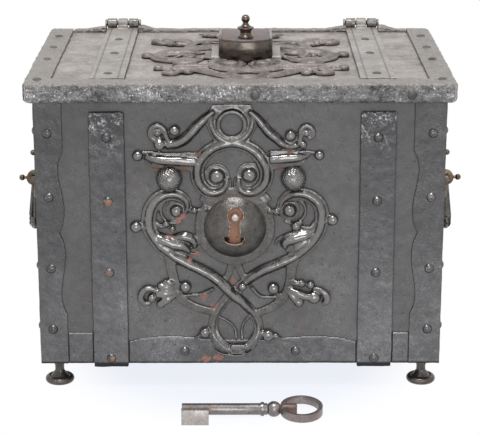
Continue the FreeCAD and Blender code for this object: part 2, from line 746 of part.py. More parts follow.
def bail():
    low = handle_height - bail_drop
    turn_z = low + bail_bend
    turn_y = bail_arm_y - bail_bend
    pieces = []
    for end in (-1, 1):
        top = V(eye_x, end * bail_arm_y, handle_height)
        pieces.append(rod(bail_rod_radius, top, V(eye_x, end * bail_arm_y, turn_z)))
        pieces.append(Part.makeSphere(bail_joint_share * bail_rod_radius, top))
        tip = end * (handle_half_span + handle_pivot_length)
        pieces.append(rod(handle_pivot_radius, top, V(eye_x, tip, handle_height)))
        bend = Part.makeTorus(bail_bend, bail_rod_radius, V(eye_x, end * turn_y, turn_z), RIGHT)
        corner = box(eye_x - bail_bend, eye_x + bail_bend, 0, bail_bend + bail_rod_radius,
                     -bail_bend - bail_rod_radius, 0)
        if end < 0:
            corner = corner.mirror(V(0, 0, 0), BACK)
        pieces.append(bend.common(corner.translated(V(0, end * turn_y, turn_z))))
    grip = turned((0, -turn_y), (bail_rod_radius, -turn_y),
                  (bail_collar_radius, bail_collar_length - turn_y),
                  (bail_rod_radius, 2 * bail_collar_length - turn_y),
                  (bail_grip_radius, 0, bail_rod_radius, turn_y - 2 * bail_collar_length),
                  (bail_collar_radius, turn_y - bail_collar_length), (bail_rod_radius, turn_y), (0, turn_y))
    pieces.append(aimed(grip, V(eye_x, 0, low), BACK))
    return fused(pieces)


right_eyes = [handle_eye(end) for end in (-1, 1)]
right_bail = bail()
add("right_handle_eyes", *right_eyes)
add("left_handle_eyes", *[mirrored(eye) for eye in right_eyes])
add("right_handle", right_bail)
add("left_handle", mirrored(right_bail))

# Lid: plate, rims with a flange on top and a rolled lower edge, mitred at the front corners,
# and a narrow band along the rear between the hinge straps.
lid_inner_x = lid_x - rim_wall
lid_inner_y = lid_front + rim_wall
lid_plate = box(-lid_inner_x, lid_inner_x, lid_inner_y, lid_rear, wall_top, plate_top)


def rim_profile():
    """Rim section in the Y-Z plane, with the outer face at Y = 0 and the lid towards +Y."""
    low = rim_bottom
    curl = rim_round
    slant = math.sqrt(0.5)
    edge = rim_edge_round
    return Part.Face(Part.Wire([
        Part.Arc(V(0, 0, lid_top - edge), V(0, edge * (1 - slant), lid_top - edge * (1 - slant)),
                 V(0, edge, lid_top)).toShape(),
        Part.LineSegment(V(0, edge, lid_top), V(0, flange_width, lid_top)).toShape(),
        Part.LineSegment(V(0, flange_width, lid_top), V(0, flange_width, plate_top)).toShape(),
        Part.LineSegment(V(0, flange_width, plate_top), V(0, rim_wall, plate_top)).toShape(),
        Part.LineSegment(V(0, rim_wall, plate_top), V(0, rim_wall, low)).toShape(),
        Part.LineSegment(V(0, rim_wall, low), V(0, curl, low)).toShape(),
        Part.Arc(V(0, curl, low), V(0, curl * (1 - slant), low + curl * (1 - slant)),
                 V(0, 0, low + curl)).toShape(),
        Part.LineSegment(V(0, 0, low + curl), V(0, 0, lid_top - edge)).toShape()]))


lid_depth = lid_rear - lid_front
rim_depth = lid_top - rim_bottom
mitre = [V(-lid_x, lid_front, rim_bottom), V(lid_x, lid_front, rim_bottom),
         V(flange_x, flange_y, rim_bottom), V(-flange_x, flange_y, rim_bottom)]
front_rim = rim_profile().extrude(V(2 * lid_x, 0, 0)).translated(V(-lid_x, lid_front, 0))
front_rim = front_rim.common(prism(mitre, UP * rim_depth))
side_rim = rim_profile()
side_rim.rotate(V(0, 0, 0), UP, -90)
side_rim = side_rim.extrude(V(0, lid_depth, 0)).translated(V(-lid_x, lid_front, 0))
side_mitre = [mitre[0], mitre[3], V(-flange_x, lid_rear, rim_bottom), V(-lid_x, lid_rear, rim_bottom)]
left_rim = side_rim.common(prism(side_mitre, UP * rim_depth))
right_rim = mirrored(left_rim)
rear_y = lid_rear - rear_band_width
rear_runs = [(-flange_x, strap_left_x - strap_edge),
             (strap_left_x + strap_edge, strap_right_x - strap_edge),
             (strap_right_x + strap_edge, flange_x)]
add("lid_rear_band", *[box(x0, x1, rear_y, lid_rear, plate_top, lid_top) for x0, x1 in rear_runs])

flange_middle = lid_x - flange_width / 2
side_places = []
for share in side_rim_rivet_shares:
    for side in (-1, 1):
        side_places.append((V(side * flange_middle, lid_front + share * lid_depth, lid_top), UP))
lid_strap_places = []
for share in lid_strap_rivet_shares:
    for x in strap_places:
        place_y = flange_y + share * (lid_rear - flange_y)
        lid_strap_places.append((V(x, place_y, plate_top + strap_sheet), UP))
rim_rivet_z = lid_top - rim_rivet_drop
rim_rivet_places = (rim_rivet_middle_x, lid_x - rim_rivet_right_inset)
rim_places = [(V(x, lid_front, rim_rivet_z), FRONT) for x in rim_rivet_places]
side_rivets, side_holes = rivets_and_holes(side_places, flange_sheet + lid_sheet)
strap_rivets, strap_holes = rivets_and_holes(lid_strap_places, strap_sheet + lid_sheet)
rim_rivets, rim_holes = rivets_and_holes(rim_places, rim_wall)
add("lid_rivets", *(side_rivets + strap_rivets + rim_rivets))
add("lid_front_rim", front_rim.cut(rim_holes))
add("lid_left_rim", left_rim.cut(side_holes))
add("lid_right_rim", right_rim.cut(side_holes))
for across in ("left", "right"):
    add(across + "_lid_strap", parts[across + "_lid_strap"].cut(strap_holes))

# Keyhole through the lid, sized for the key, with its slot towards the front.
key_axis = V(housing_x, key_axis_y, 0)
hole_half_web = key_bit_web / 2 + keyhole_gap
hole_half_bar = key_bit_bar_height / 2 + keyhole_gap
hole_far = key_axis_y - key_bit_reach - keyhole_gap
hole_near = key_axis_y - key_bit_reach + key_bit_bar + keyhole_gap
hole_low = wall_top - lock_sheet - overrun
hole_high = plate_top + scroll_sheet + overrun
key_passage = fused([
    rod(key_barrel_radius + keyhole_gap, key_axis + UP * hole_low, key_axis + UP * hole_high),
    box(housing_x - hole_half_web, housing_x + hole_half_web, hole_far, key_axis_y, hole_low, hole_high),
    box(housing_x - hole_half_bar, housing_x + hole_half_bar, hole_far, hole_near, hole_low, hole_high)])
add("lid_plate", lid_plate.cut(side_holes).cut(strap_holes).cut(key_passage))

# Lid scrollwork: the same ornament laid flat, with its crest to the front, centred on the housing.
housing_front = housing_rear - housing_depth
housing_middle_y = (housing_front + housing_rear) / 2
lid_place = V(housing_x, housing_middle_y, plate_top)


def laid_flat(shape):
    flat = shape.copy()
    flat.rotate(V(0, 0, 0), RIGHT, -90)
    flat.rotate(V(0, 0, 0), UP, 180)
    return flat.translated(lid_place)


lid_scroll_half_depth = (housing_middle_y - flange_y - lid_scroll_front_gap) / crest_share
lid_ornament, lid_knobs = scrollwork(straps_half_gap - lid_scroll_side_gap, lid_scroll_half_depth)
lid_ornament = laid_flat(lid_ornament).cut(key_passage)
housing_low = plate_top + scroll_sheet
housing_top = housing_low + housing_height

# Keyhole housing: side walls, a bowed front and a lower rear wall, with a flap cover on a pin
# between the side walls and a turned finial near the front of the cover.
half_house = housing_width / 2
bow_middle_y = housing_front - housing_bow


def bowed(half, front_y, rear_y_here, low, high, bow_y):
    """Block with a straight rear and a front that bows out to bow_y."""
    x0 = housing_x - half
    x1 = housing_x + half
    edges = [
        Part.Arc(V(x0, front_y, low), V(housing_x, bow_y, low), V(x1, front_y, low)).toShape(),
        Part.LineSegment(V(x1, front_y, low), V(x1, rear_y_here, low)).toShape(),
        Part.LineSegment(V(x1, rear_y_here, low), V(x0, rear_y_here, low)).toShape(),
        Part.LineSegment(V(x0, rear_y_here, low), V(x0, front_y, low)).toShape()]
    return Part.Face(Part.Wire(edges)).extrude(UP * (high - low))


cover_low = housing_top - cover_sheet
cover_half = half_house - housing_wall - fit_gap
outside = bowed(half_house, housing_front, housing_rear, housing_low, housing_top, bow_middle_y)
inside = bowed(half_house - housing_wall, housing_front + housing_wall, housing_rear - housing_wall,
               housing_low - overrun, housing_top + overrun, bow_middle_y + housing_wall)
slot_half = half_house - housing_wall
cover_room = box(housing_x - slot_half, housing_x + slot_half, bow_middle_y - overrun,
                 housing_rear + overrun, cover_low - pin_gap, housing_top + overrun)
rear_room = box(housing_x - slot_half, housing_x + slot_half, housing_rear - housing_wall - overrun,
                housing_rear + overrun, housing_top - cover_wall_drop, housing_top + overrun)
cover_axis_y = housing_rear - cover_rear_inset
cover_axis_z = housing_top - cover_barrel_radius


def cover_rod(radius, half):
    return rod(radius, V(housing_x - half, cover_axis_y, cover_axis_z),
               V(housing_x + half, cover_axis_y, cover_axis_z))


housing = outside.cut(inside).cut(cover_room).cut(rear_room)
add("keyhole_housing", housing.cut(cover_rod(cover_pin_radius + pin_gap, half_house + overrun)))
add("cover_pin", cover_rod(cover_pin_radius, half_house))
cover_plate = bowed(half_house, housing_front, cover_axis_y, cover_low, housing_top, bow_middle_y)
cover_plate = cover_plate.common(box(housing_x - cover_half, housing_x + cover_half, bow_middle_y - overrun,
                                     housing_rear, cover_low, housing_top))
cover = fused([cover_plate, cover_rod(cover_barrel_radius, cover_half)])
cover = cover.cut(cover_rod(cover_pin_radius + pin_gap, half_house))
finial_foot = V(housing_x, bow_middle_y + finial_inset, housing_top)
tenon_low = finial_foot - UP * cover_sheet
cover = cover.cut(rod(finial_tenon_radius + pin_gap, tenon_low - UP * overrun, finial_foot + UP * overrun))
add("keyhole_cover", cover)
finial_rises = [share * finial_height for share in finial_rise_shares]
base_rise, waist_rise, bulge_rise, collar_rise, slope_rise = finial_rises
ball_rise = finial_height - finial_ball_radius
neck_rise = ball_rise - math.sqrt(finial_ball_radius ** 2 - finial_neck_radius ** 2)
finial = turned(
    (0, -cover_sheet), (finial_tenon_radius, -cover_sheet), (finial_tenon_radius, 0),
    (finial_base_radius, 0), (finial_base_radius, base_rise),
    (finial_waist_radius, waist_rise, finial_bulge_radius, bulge_rise),
    (finial_bulge_radius, collar_rise),
    (finial_neck_share * finial_neck_radius, slope_rise, finial_neck_radius, neck_rise),
    (finial_ball_radius, ball_rise, 0, finial_height))
add("cover_finial", finial.translated(finial_foot))
add("lid_scrollwork", *(lid_ornament.cut(outside).Solids + [laid_flat(knob) for knob in lid_knobs]))

# Lock plate on the underside of the lid, with all the bolt work below it.
plate_low = wall_top - lock_sheet
lock_front = -ledge_y + lock_front_margin
lock_rear = lock_front + lock_depth
lock_half_width = ledge_x - lock_side_margin
lock_plate = box(-lock_half_width, lock_half_width, lock_front, lock_rear, plate_low, wall_top)
add("lock_plate", lock_plate.cut(key_passage))
bolt_top = wall_top - max(lock_sheet, ledge_sheet) - fit_gap
bolt_low = bolt_top - bolt_thickness
half_bolt = bolt_width / 2
tip_y = -ledge_y + bolt_tip_margin
tip_x = ledge_x - bolt_tip_margin
crank_top = bolt_low - crank_drop
crank_low = crank_top - crank_thickness
stud_low = crank_low - pin_gap
stem_x0 = housing_x + stem_offset
stem_x1 = stem_x0 + bolt_width
swing = bolt_travel / crank_arm / 2


def stud(x, y):
    return rod(stud_radius, V(x, y, stud_low), V(x, y, bolt_low))


# Main bolt: a crossbar with two heads to the front, and a stem to the rear with the talon
# that the key's bit pushes. It is drawn back at rest, and goes forward to lock.
half_travel = bolt_travel / 2
pivot_y = lock_front + crossbar_inset
bar_y = pivot_y + half_travel
stem_rear = lock_rear - stem_rear_margin
crank_pivot_x = lock_half_width - crank_inset
arm_end_x = crank_pivot_x - crank_arm
crossbar_half_length = arm_end_x + crossbar_end_margin
bolt_pieces = [box(-crossbar_half_length, crossbar_half_length, bar_y - half_bolt, bar_y + half_bolt,
                   bolt_low, bolt_top)]
for side in (-1, 1):
    middle = side * front_bolt_x
    bolt_pieces.append(box(middle - half_bolt, middle + half_bolt, tip_y, bar_y, bolt_low, bolt_top))
    bolt_pieces.append(stud(side * arm_end_x, bar_y))
bolt_pieces.append(box(stem_x0, stem_x1, bar_y, stem_rear, bolt_low, bolt_top))
talon = box(stem_x0 - overrun, stem_x0 + talon_depth, key_axis_y - talon_width / 2,
            key_axis_y + talon_width / 2, bolt_low - overrun, bolt_top + overrun)
add("main_bolt", fused(bolt_pieces).cut(talon))

# Bell cranks: one arm takes the main bolt's stud, the other drives the side bolt outwards.
# At rest they stand half the swing back from square.
side_y = pivot_y - crank_arm


def crank():
    """Right-hand crank about its pivot, in the middle of its swing."""
    half = crank_width / 2
    reach = crank_arm + stud_radius + stud_slot_spare
    inner = box(-reach, 0, -half, half, crank_low, crank_top)
    outer = box(-half, half, -reach, 0, crank_low, crank_top)
    hub = rod(crank_hub_share * crank_width, V(0, 0, crank_low), V(0, 0, crank_top))
    slot_half_width = stud_radius + fit_gap
    slot_start = crank_arm - stud_radius - stud_slot_spare
    low = crank_low - overrun
    high = crank_top + overrun
    inner_slot = box(-reach - overrun, -slot_start, -slot_half_width, slot_half_width, low, high)
    outer_slot = box(-slot_half_width, slot_half_width, -reach - overrun, -slot_start, low, high)
    bore = rod(crank_pin_radius + pin_gap, V(0, 0, low), V(0, 0, high))
    return fused([inner, outer, hub]).cut(inner_slot).cut(outer_slot).cut(bore)


right_crank = crank()
right_crank.rotate(V(0, 0, 0), UP, -math.degrees(swing))
right_crank = right_crank.translated(V(crank_pivot_x, pivot_y, 0))
add("right_crank", right_crank)
add("left_crank", mirrored(right_crank))
pivot = V(crank_pivot_x, pivot_y, 0)
pin_low = pivot + UP * (crank_low - pin_gap)
crank_pin = fused([rod(crank_pin_radius, pin_low, pivot + UP * plate_low),
                   rod(crank_pin_head, pin_low - UP * crank_pin_head_length, pin_low)])
add("crank_pins", crank_pin, mirrored(crank_pin))

# Side bolts, drawn in at rest.
bolt_inner = crank_pivot_x - half_travel - side_bolt_inner_margin
right_bolt = fused([box(bolt_inner, tip_x, side_y - half_bolt, side_y + half_bolt, bolt_low, bolt_top),
                    stud(crank_pivot_x - half_travel, side_y)])
add("right_side_bolt", right_bolt)
add("left_side_bolt", mirrored(right_bolt))

# Guides: bridges riveted under the lock plate that hold the bolts up and in line.
guide_in = half_bolt + fit_gap
guide_out = guide_in + guide_wall
guide_low = bolt_low - fit_gap - guide_wall
front_guide_y = lock_front + front_guide_inset
side_guide_x = lock_half_width - side_guide_inset
stem_guide_y = lock_rear - stem_guide_inset


def guide():
    """Guide for a bolt that slides along Y, about its own middle."""
    half = guide_length / 2
    block = box(-guide_out, guide_out, -half, half, guide_low, plate_low)
    room = box(-guide_in, guide_in, -half - overrun, half + overrun, bolt_low - fit_gap, plate_low + overrun)
    return block.cut(room)


across_guide = guide()
across_guide.rotate(V(0, 0, 0), UP, 90)
guides = [guide().translated(V(side * front_bolt_x, front_guide_y, 0)) for side in (-1, 1)]
guides += [across_guide.translated(V(side * side_guide_x, side_y, 0)) for side in (-1, 1)]
guides.append(guide().translated(V((stem_x0 + stem_x1) / 2, stem_guide_y, 0)))
add("bolt_guides", *guides)

# Lock bridge over the key's path, with the drill pin that stands up through the keyhole.
bridge_high = plate_low - bridge_drop
bridge_low = bridge_high - bridge_sheet
bridge_x0 = housing_x - bridge_left_reach
bridge_x1 = housing_x + bridge_right_reach
half_bridge = bridge_width / 2
bridge_y0 = key_axis_y - half_bridge
bridge_y1 = key_axis_y + half_bridge
bridge_pieces = [box(bridge_x0, bridge_x1, bridge_y0, bridge_y1, bridge_low, bridge_high)]
for x0 in (bridge_x0, bridge_x1 - bridge_leg):
    bridge_pieces.append(box(x0, x0 + bridge_leg, bridge_y0, bridge_y1, bridge_low, plate_low))
drill_foot = key_axis + UP * bridge_low
drill_top = key_axis + UP * (cover_low - drill_pin_top_drop)
pin_hole = rod(drill_pin_radius + pin_gap, drill_foot - UP * overrun, drill_top)
add("lock_bridge", fused(bridge_pieces).cut(pin_hole))
add("drill_pin", rod(drill_pin_radius, drill_foot, drill_top))

# Leaf spring beside the stem, on edge, with a foot under the lock plate.
spring_x = stem_x1 + fit_gap
spring_y = stem_guide_y - guide_length / 2 - fit_gap
spring_low = plate_low - spring_height
spring_tip = bar_y + half_bolt + spring_end_gap
leaf_x = spring_x + spring_sheet
leaf = box(spring_x, leaf_x, spring_tip, spring_y, spring_low, plate_low)
spring_foot = box(leaf_x, leaf_x + spring_block, spring_y - spring_block, spring_y, spring_low, plate_low)
add("bolt_spring", fused([leaf, spring_foot]))

# Key: piped barrel with a T-shaped bit, turned collars and an oval bow, lying on the floor.
key_z = max(key_collar_radius, key_bit_bar_height / 2)
key_end = key_x + key_length
bow_start = key_end - key_bow_length
collar_start = bow_start - key_collar_length
half_bow = key_bow_length / 2
half_across = key_bow_width / 2
bow_middle = V(bow_start + half_bow, key_y, key_z - key_bow_band / 2)


def key_rod(radius, x0, x1):
    return rod(radius, V(x0, key_y, key_z), V(x1, key_y, key_z))


def oval(inset):
    long_way = bow_middle + BACK * (half_across - inset)
    short_way = bow_middle + RIGHT * (half_bow - inset)
    return Part.Face(Part.Wire(Part.Ellipse(long_way, short_way, bow_middle).toShape()))


bow = oval(0).cut(oval(key_bow_sheet)).extrude(UP * key_bow_band)
collar = turned((0, 0), (key_neck_radius, 0),
                (key_collar_radius, key_collar_length / 2, key_neck_radius, key_collar_length),
                (0, key_collar_length))
bit_x1 = key_x + key_bit_length
half_web = key_bit_web / 2
half_bar = key_bit_bar_height / 2
bit_far = key_y - key_bit_reach
bit_near = bit_far + key_bit_bar
web = box(key_x, bit_x1, bit_near, key_y, key_z - half_web, key_z + half_web)
ward_y = (bit_near + key_y - key_barrel_radius) / 2
half_ward = key_ward_width / 2
for x0, x1 in ((key_x - overrun, key_x + key_ward_depth), (bit_x1 - key_ward_depth, bit_x1 + overrun)):
    web = web.cut(box(x0, x1, ward_y - half_ward, ward_y + half_ward, key_z - half_web - overrun,
                      key_z + half_web + overrun))
bar = box(key_x, bit_x1, bit_far, bit_near, key_z - half_bar, key_z + half_bar)
ring_start = collar_start - 2 * key_ring_length
key = fused([
    key_rod(key_barrel_radius, key_x, collar_start),
    key_rod(key_ring_radius, ring_start, ring_start + key_ring_length),
    key_rod(key_neck_radius, collar_start, bow_start + key_tang_length),
    aimed(collar, V(collar_start, key_y, key_z), RIGHT), bow, web, bar])
add("key", key.cut(key_rod(key_bore_radius, key_x - overrun, key_x + key_bore_depth)))

# Move the set so that the origin is on the floor under the middle of its box, and write it out.
set_front = key_y - max(half_across, key_bit_reach)
set_rear = hinge_y + knuckle_radius
set_shift = V(0, -(set_front + set_rear) / 2, 0)
os.makedirs("parts", exist_ok=True)
for name, shape in parts.items():
    shape.translated(set_shift).exportStep("parts/" + name + ".step")
print(len(parts), "nodes, shifted back by", round(set_shift.y, 3))
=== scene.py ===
import json
import math

import bpy
from mathutils import Matrix, Vector

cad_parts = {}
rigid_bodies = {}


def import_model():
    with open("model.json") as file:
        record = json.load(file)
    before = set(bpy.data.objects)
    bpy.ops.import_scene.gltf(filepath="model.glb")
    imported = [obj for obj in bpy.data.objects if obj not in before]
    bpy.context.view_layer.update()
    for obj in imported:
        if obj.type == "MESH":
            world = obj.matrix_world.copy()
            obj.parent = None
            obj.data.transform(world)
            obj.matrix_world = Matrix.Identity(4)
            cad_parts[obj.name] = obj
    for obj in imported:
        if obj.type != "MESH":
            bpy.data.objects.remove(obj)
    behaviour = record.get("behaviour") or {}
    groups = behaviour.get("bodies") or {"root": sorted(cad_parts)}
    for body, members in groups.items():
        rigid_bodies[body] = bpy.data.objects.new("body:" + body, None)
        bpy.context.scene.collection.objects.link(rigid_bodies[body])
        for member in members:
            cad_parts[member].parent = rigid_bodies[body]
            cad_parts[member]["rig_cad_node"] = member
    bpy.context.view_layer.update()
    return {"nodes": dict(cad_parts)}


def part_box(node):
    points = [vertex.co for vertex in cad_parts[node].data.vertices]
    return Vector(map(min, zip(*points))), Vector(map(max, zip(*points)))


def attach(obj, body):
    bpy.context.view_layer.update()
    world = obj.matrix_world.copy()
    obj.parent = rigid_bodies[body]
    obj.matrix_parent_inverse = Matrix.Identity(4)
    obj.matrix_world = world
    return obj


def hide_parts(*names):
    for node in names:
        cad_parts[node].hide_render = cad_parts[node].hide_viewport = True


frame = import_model()

# Studio: a white floor under a soft lamp overhead that gives the glints on the raised ironwork, a
# larger soft lamp in front, and a camera a little above the lid that looks straight at the front.
mm = 0.001
floor_reach = 6.0
floor_white = (0.93, 0.935, 0.95, 1)
floor_shadow_tint = (0.893, 0.92, 0.991, 1)
shade_near = 0.085
shade_far = 0.15
floor_lift = 0.92
room_white = (1, 1, 1, 1)
room_light = 0.36
photo_width = 480
photo_height = 435
camera_place = Vector((0.00044, -1.26675, 0.49168))
camera_dip = math.radians(16.845)
camera_roll = math.radians(0.075)
camera_lens = 133.27
film_width = 36

bpy.ops.object.select_all(action="DESELECT")
bpy.ops.mesh.primitive_plane_add(size=floor_reach, location=(0, 0, 0))
floor = bpy.context.active_object
floor.name = "studio_floor"
floor_paper = bpy.data.materials.new("floor_paper")
floor_paper.use_nodes = True
floor_shader = floor_paper.node_tree.nodes["Principled BSDF"]
floor_shader.inputs["Base Color"].default_value = floor_white
floor_shader.inputs["Roughness"].default_value = 0.9
floor_shader.inputs["Specular IOR Level"].default_value = 0.1


class Wire:
    """A node's output in one material. Arithmetic on it adds Math nodes."""

    def __init__(self, tree, socket=None):
        self.tree = tree
        self.socket = socket

    def add(self, kind, settings=None, inputs=None, output=0):
        """Any other node: its type, its settings, and the values or wires of its sockets."""
        node = self.tree.nodes.new(kind)
        for name, value in (settings or {}).items():
            if name == "stops":
                ramp = node.color_ramp
                while len(ramp.elements) < len(value):
                    ramp.elements.new(1)
                for element, (place, colour) in zip(ramp.elements, value):
                    element.position = place
                    element.color = colour
            else:
                setattr(node, name, value)
        for name, value in (inputs or {}).items():
            if isinstance(value, Wire):
                self.tree.links.new(value.socket, node.inputs[name])
            else:
                node.inputs[name].default_value = value
        return Wire(self.tree, node.outputs[output])

    def math(self, operation, first, second):
        return self.add("ShaderNodeMath", {"operation": operation}, {0: first, 1: second})

    def __add__(self, other):
        return self.math("ADD", self, other)

    __radd__ = __add__

    def __sub__(self, other):
        return self.math("SUBTRACT", self, other)

    def __rsub__(self, other):
        return self.math("SUBTRACT", other, self)

    def __mul__(self, other):
        return self.math("MULTIPLY", self, other)

    __rmul__ = __mul__

    def step(self, low, high):
        """0 below low, 1 above high, and a smooth way between."""
        return self.add("ShaderNodeMapRange", {"interpolation_type": "SMOOTHSTEP"},
                        {"Value": self, "From Min": low, "From Max": high})

    def noise(self, scale, detail=4, rough=0.55):
        """Noise on this wire's coordinates, with scale in blotches to the metre."""
        return self.add("ShaderNodeTexNoise", None,
                        {"Vector": self, "Scale": scale, "Detail": detail, "Roughness": rough})

    def under(self, colour, mask):
        """This colour where mask is 0, and the one given where it is 1."""
        return self.add("ShaderNodeMix", {"data_type": "RGBA"},
                        {0: mask, 6: self, 7: (*colour, 1)}, output=2)


def seen(wire):
    """1 for a ray from the camera, a gloss or a glass, and 0 for light on its way."""
    camera_ray, gloss_ray, glass_ray = [wire.add("ShaderNodeLightPath", output=kind) for kind in
                                        ("Is Camera Ray", "Is Glossy Ray", "Is Transmission Ray")]
    return wire.math("MAXIMUM", wire.math("MAXIMUM", camera_ray, gloss_ray), glass_ray)


wire = Wire(floor_paper.node_tree)
away = wire.add("ShaderNodeVectorMath", {"operation": "LENGTH"},
                {0: wire.add("ShaderNodeTexCoord", output="Object")}, output="Value")
# Painted shadow: near the chest the floor's glow is dimmer and bluish, fading to white farther out.
clear = away.step(shade_near, shade_far)
lift = floor_lift + (1 - floor_lift) * clear
tint = wire.add("ShaderNodeMix", {"data_type": "RGBA"}, {0: clear, 6: floor_shadow_tint, 7: room_white}, output=2)
glow = wire.add("ShaderNodeEmission", None, {"Color": tint})
paper = wire.add("ShaderNodeMixShader", None,
                 {0: seen(wire) * lift, 1: Wire(wire.tree, floor_shader.outputs[0]), 2: glow})
wire.tree.links.new(paper.socket, wire.tree.nodes["Material Output"].inputs["Surface"])
floor.data.materials.append(floor_paper)

world = bpy.data.worlds.new("white_room")
bpy.context.scene.world = world
world.use_nodes = True
wire = Wire(world.node_tree)
room_seen = wire.add("ShaderNodeBackground", None, {"Color": room_white, "Strength": 1})
room_lit = wire.add("ShaderNodeBackground", None, {"Color": room_white, "Strength": room_light})
room = wire.add("ShaderNodeMixShader", None, {0: seen(wire), 1: room_lit, 2: room_seen})
wire.tree.links.new(room.socket, wire.tree.nodes["World Output"].inputs["Surface"])


def lamp(name, place, target, size, power):
    """A round soft lamp of this width and wattage, turned to its target."""
    bpy.ops.object.light_add(type="AREA", location=place)
    light = bpy.context.active_object
    light.name = name
    light.data.shape = "DISK"
    light.data.size = size
    light.data.energy = power
    light.rotation_euler = (Vector(target) - Vector(place)).to_track_quat("-Z", "Y").to_euler()


lamp("soft_lamp_overhead", place=(-0.05, -0.36, 1.45), target=(0, 0, 0.1), size=0.55, power=13)
lamp("soft_lamp_front", place=(0.2, -1.8, 0.5), target=(0, 0, 0.1), size=1.1, power=9)

bpy.ops.object.camera_add(location=camera_place)
camera = bpy.context.active_object
camera.rotation_mode = "XYZ"
camera.rotation_euler = (math.pi / 2 - camera_dip, camera_roll, 0)
camera.data.lens = camera_lens
camera.data.sensor_width = film_width
bpy.context.scene.camera = camera
bpy.context.scene.view_settings.view_transform = "Standard"
bpy.context.view_layer.update()

# Body panels: sheet iron hammered flat by hand, dark with old wax and smoke, riveted together
# at the corners. Traces of red lead are left where the ornament kept the brush away.
# Blotches are counted to the metre.
broad_blotches = 26
small_blotches = 150
fine_blotches = 700
bloom_blotches = 60
scuff_blotches = 320
pit_blotches = 420
chip_blotches = 380
chip_patches = 70
chip_bumps = 160
paint_blotches = 330
paint_edge = (2.35, 2.1)
hatch_scale = 230
bump_depth = 0.7 * mm
top_shade_foot = 40 * mm
bottom_edge_shadow = (20.4 * mm, 18.4 * mm)
dust_and_sheen_edge = 1.5 * mm
cut_edge = (0.7 * mm, 0.3 * mm)
panel_fade = 30 * mm
light_middle_edge = 4 * mm


def shade(colour, factor):
    """A colour made darker or lighter, up to white."""
    return [min(1, channel * factor) for channel in colour]


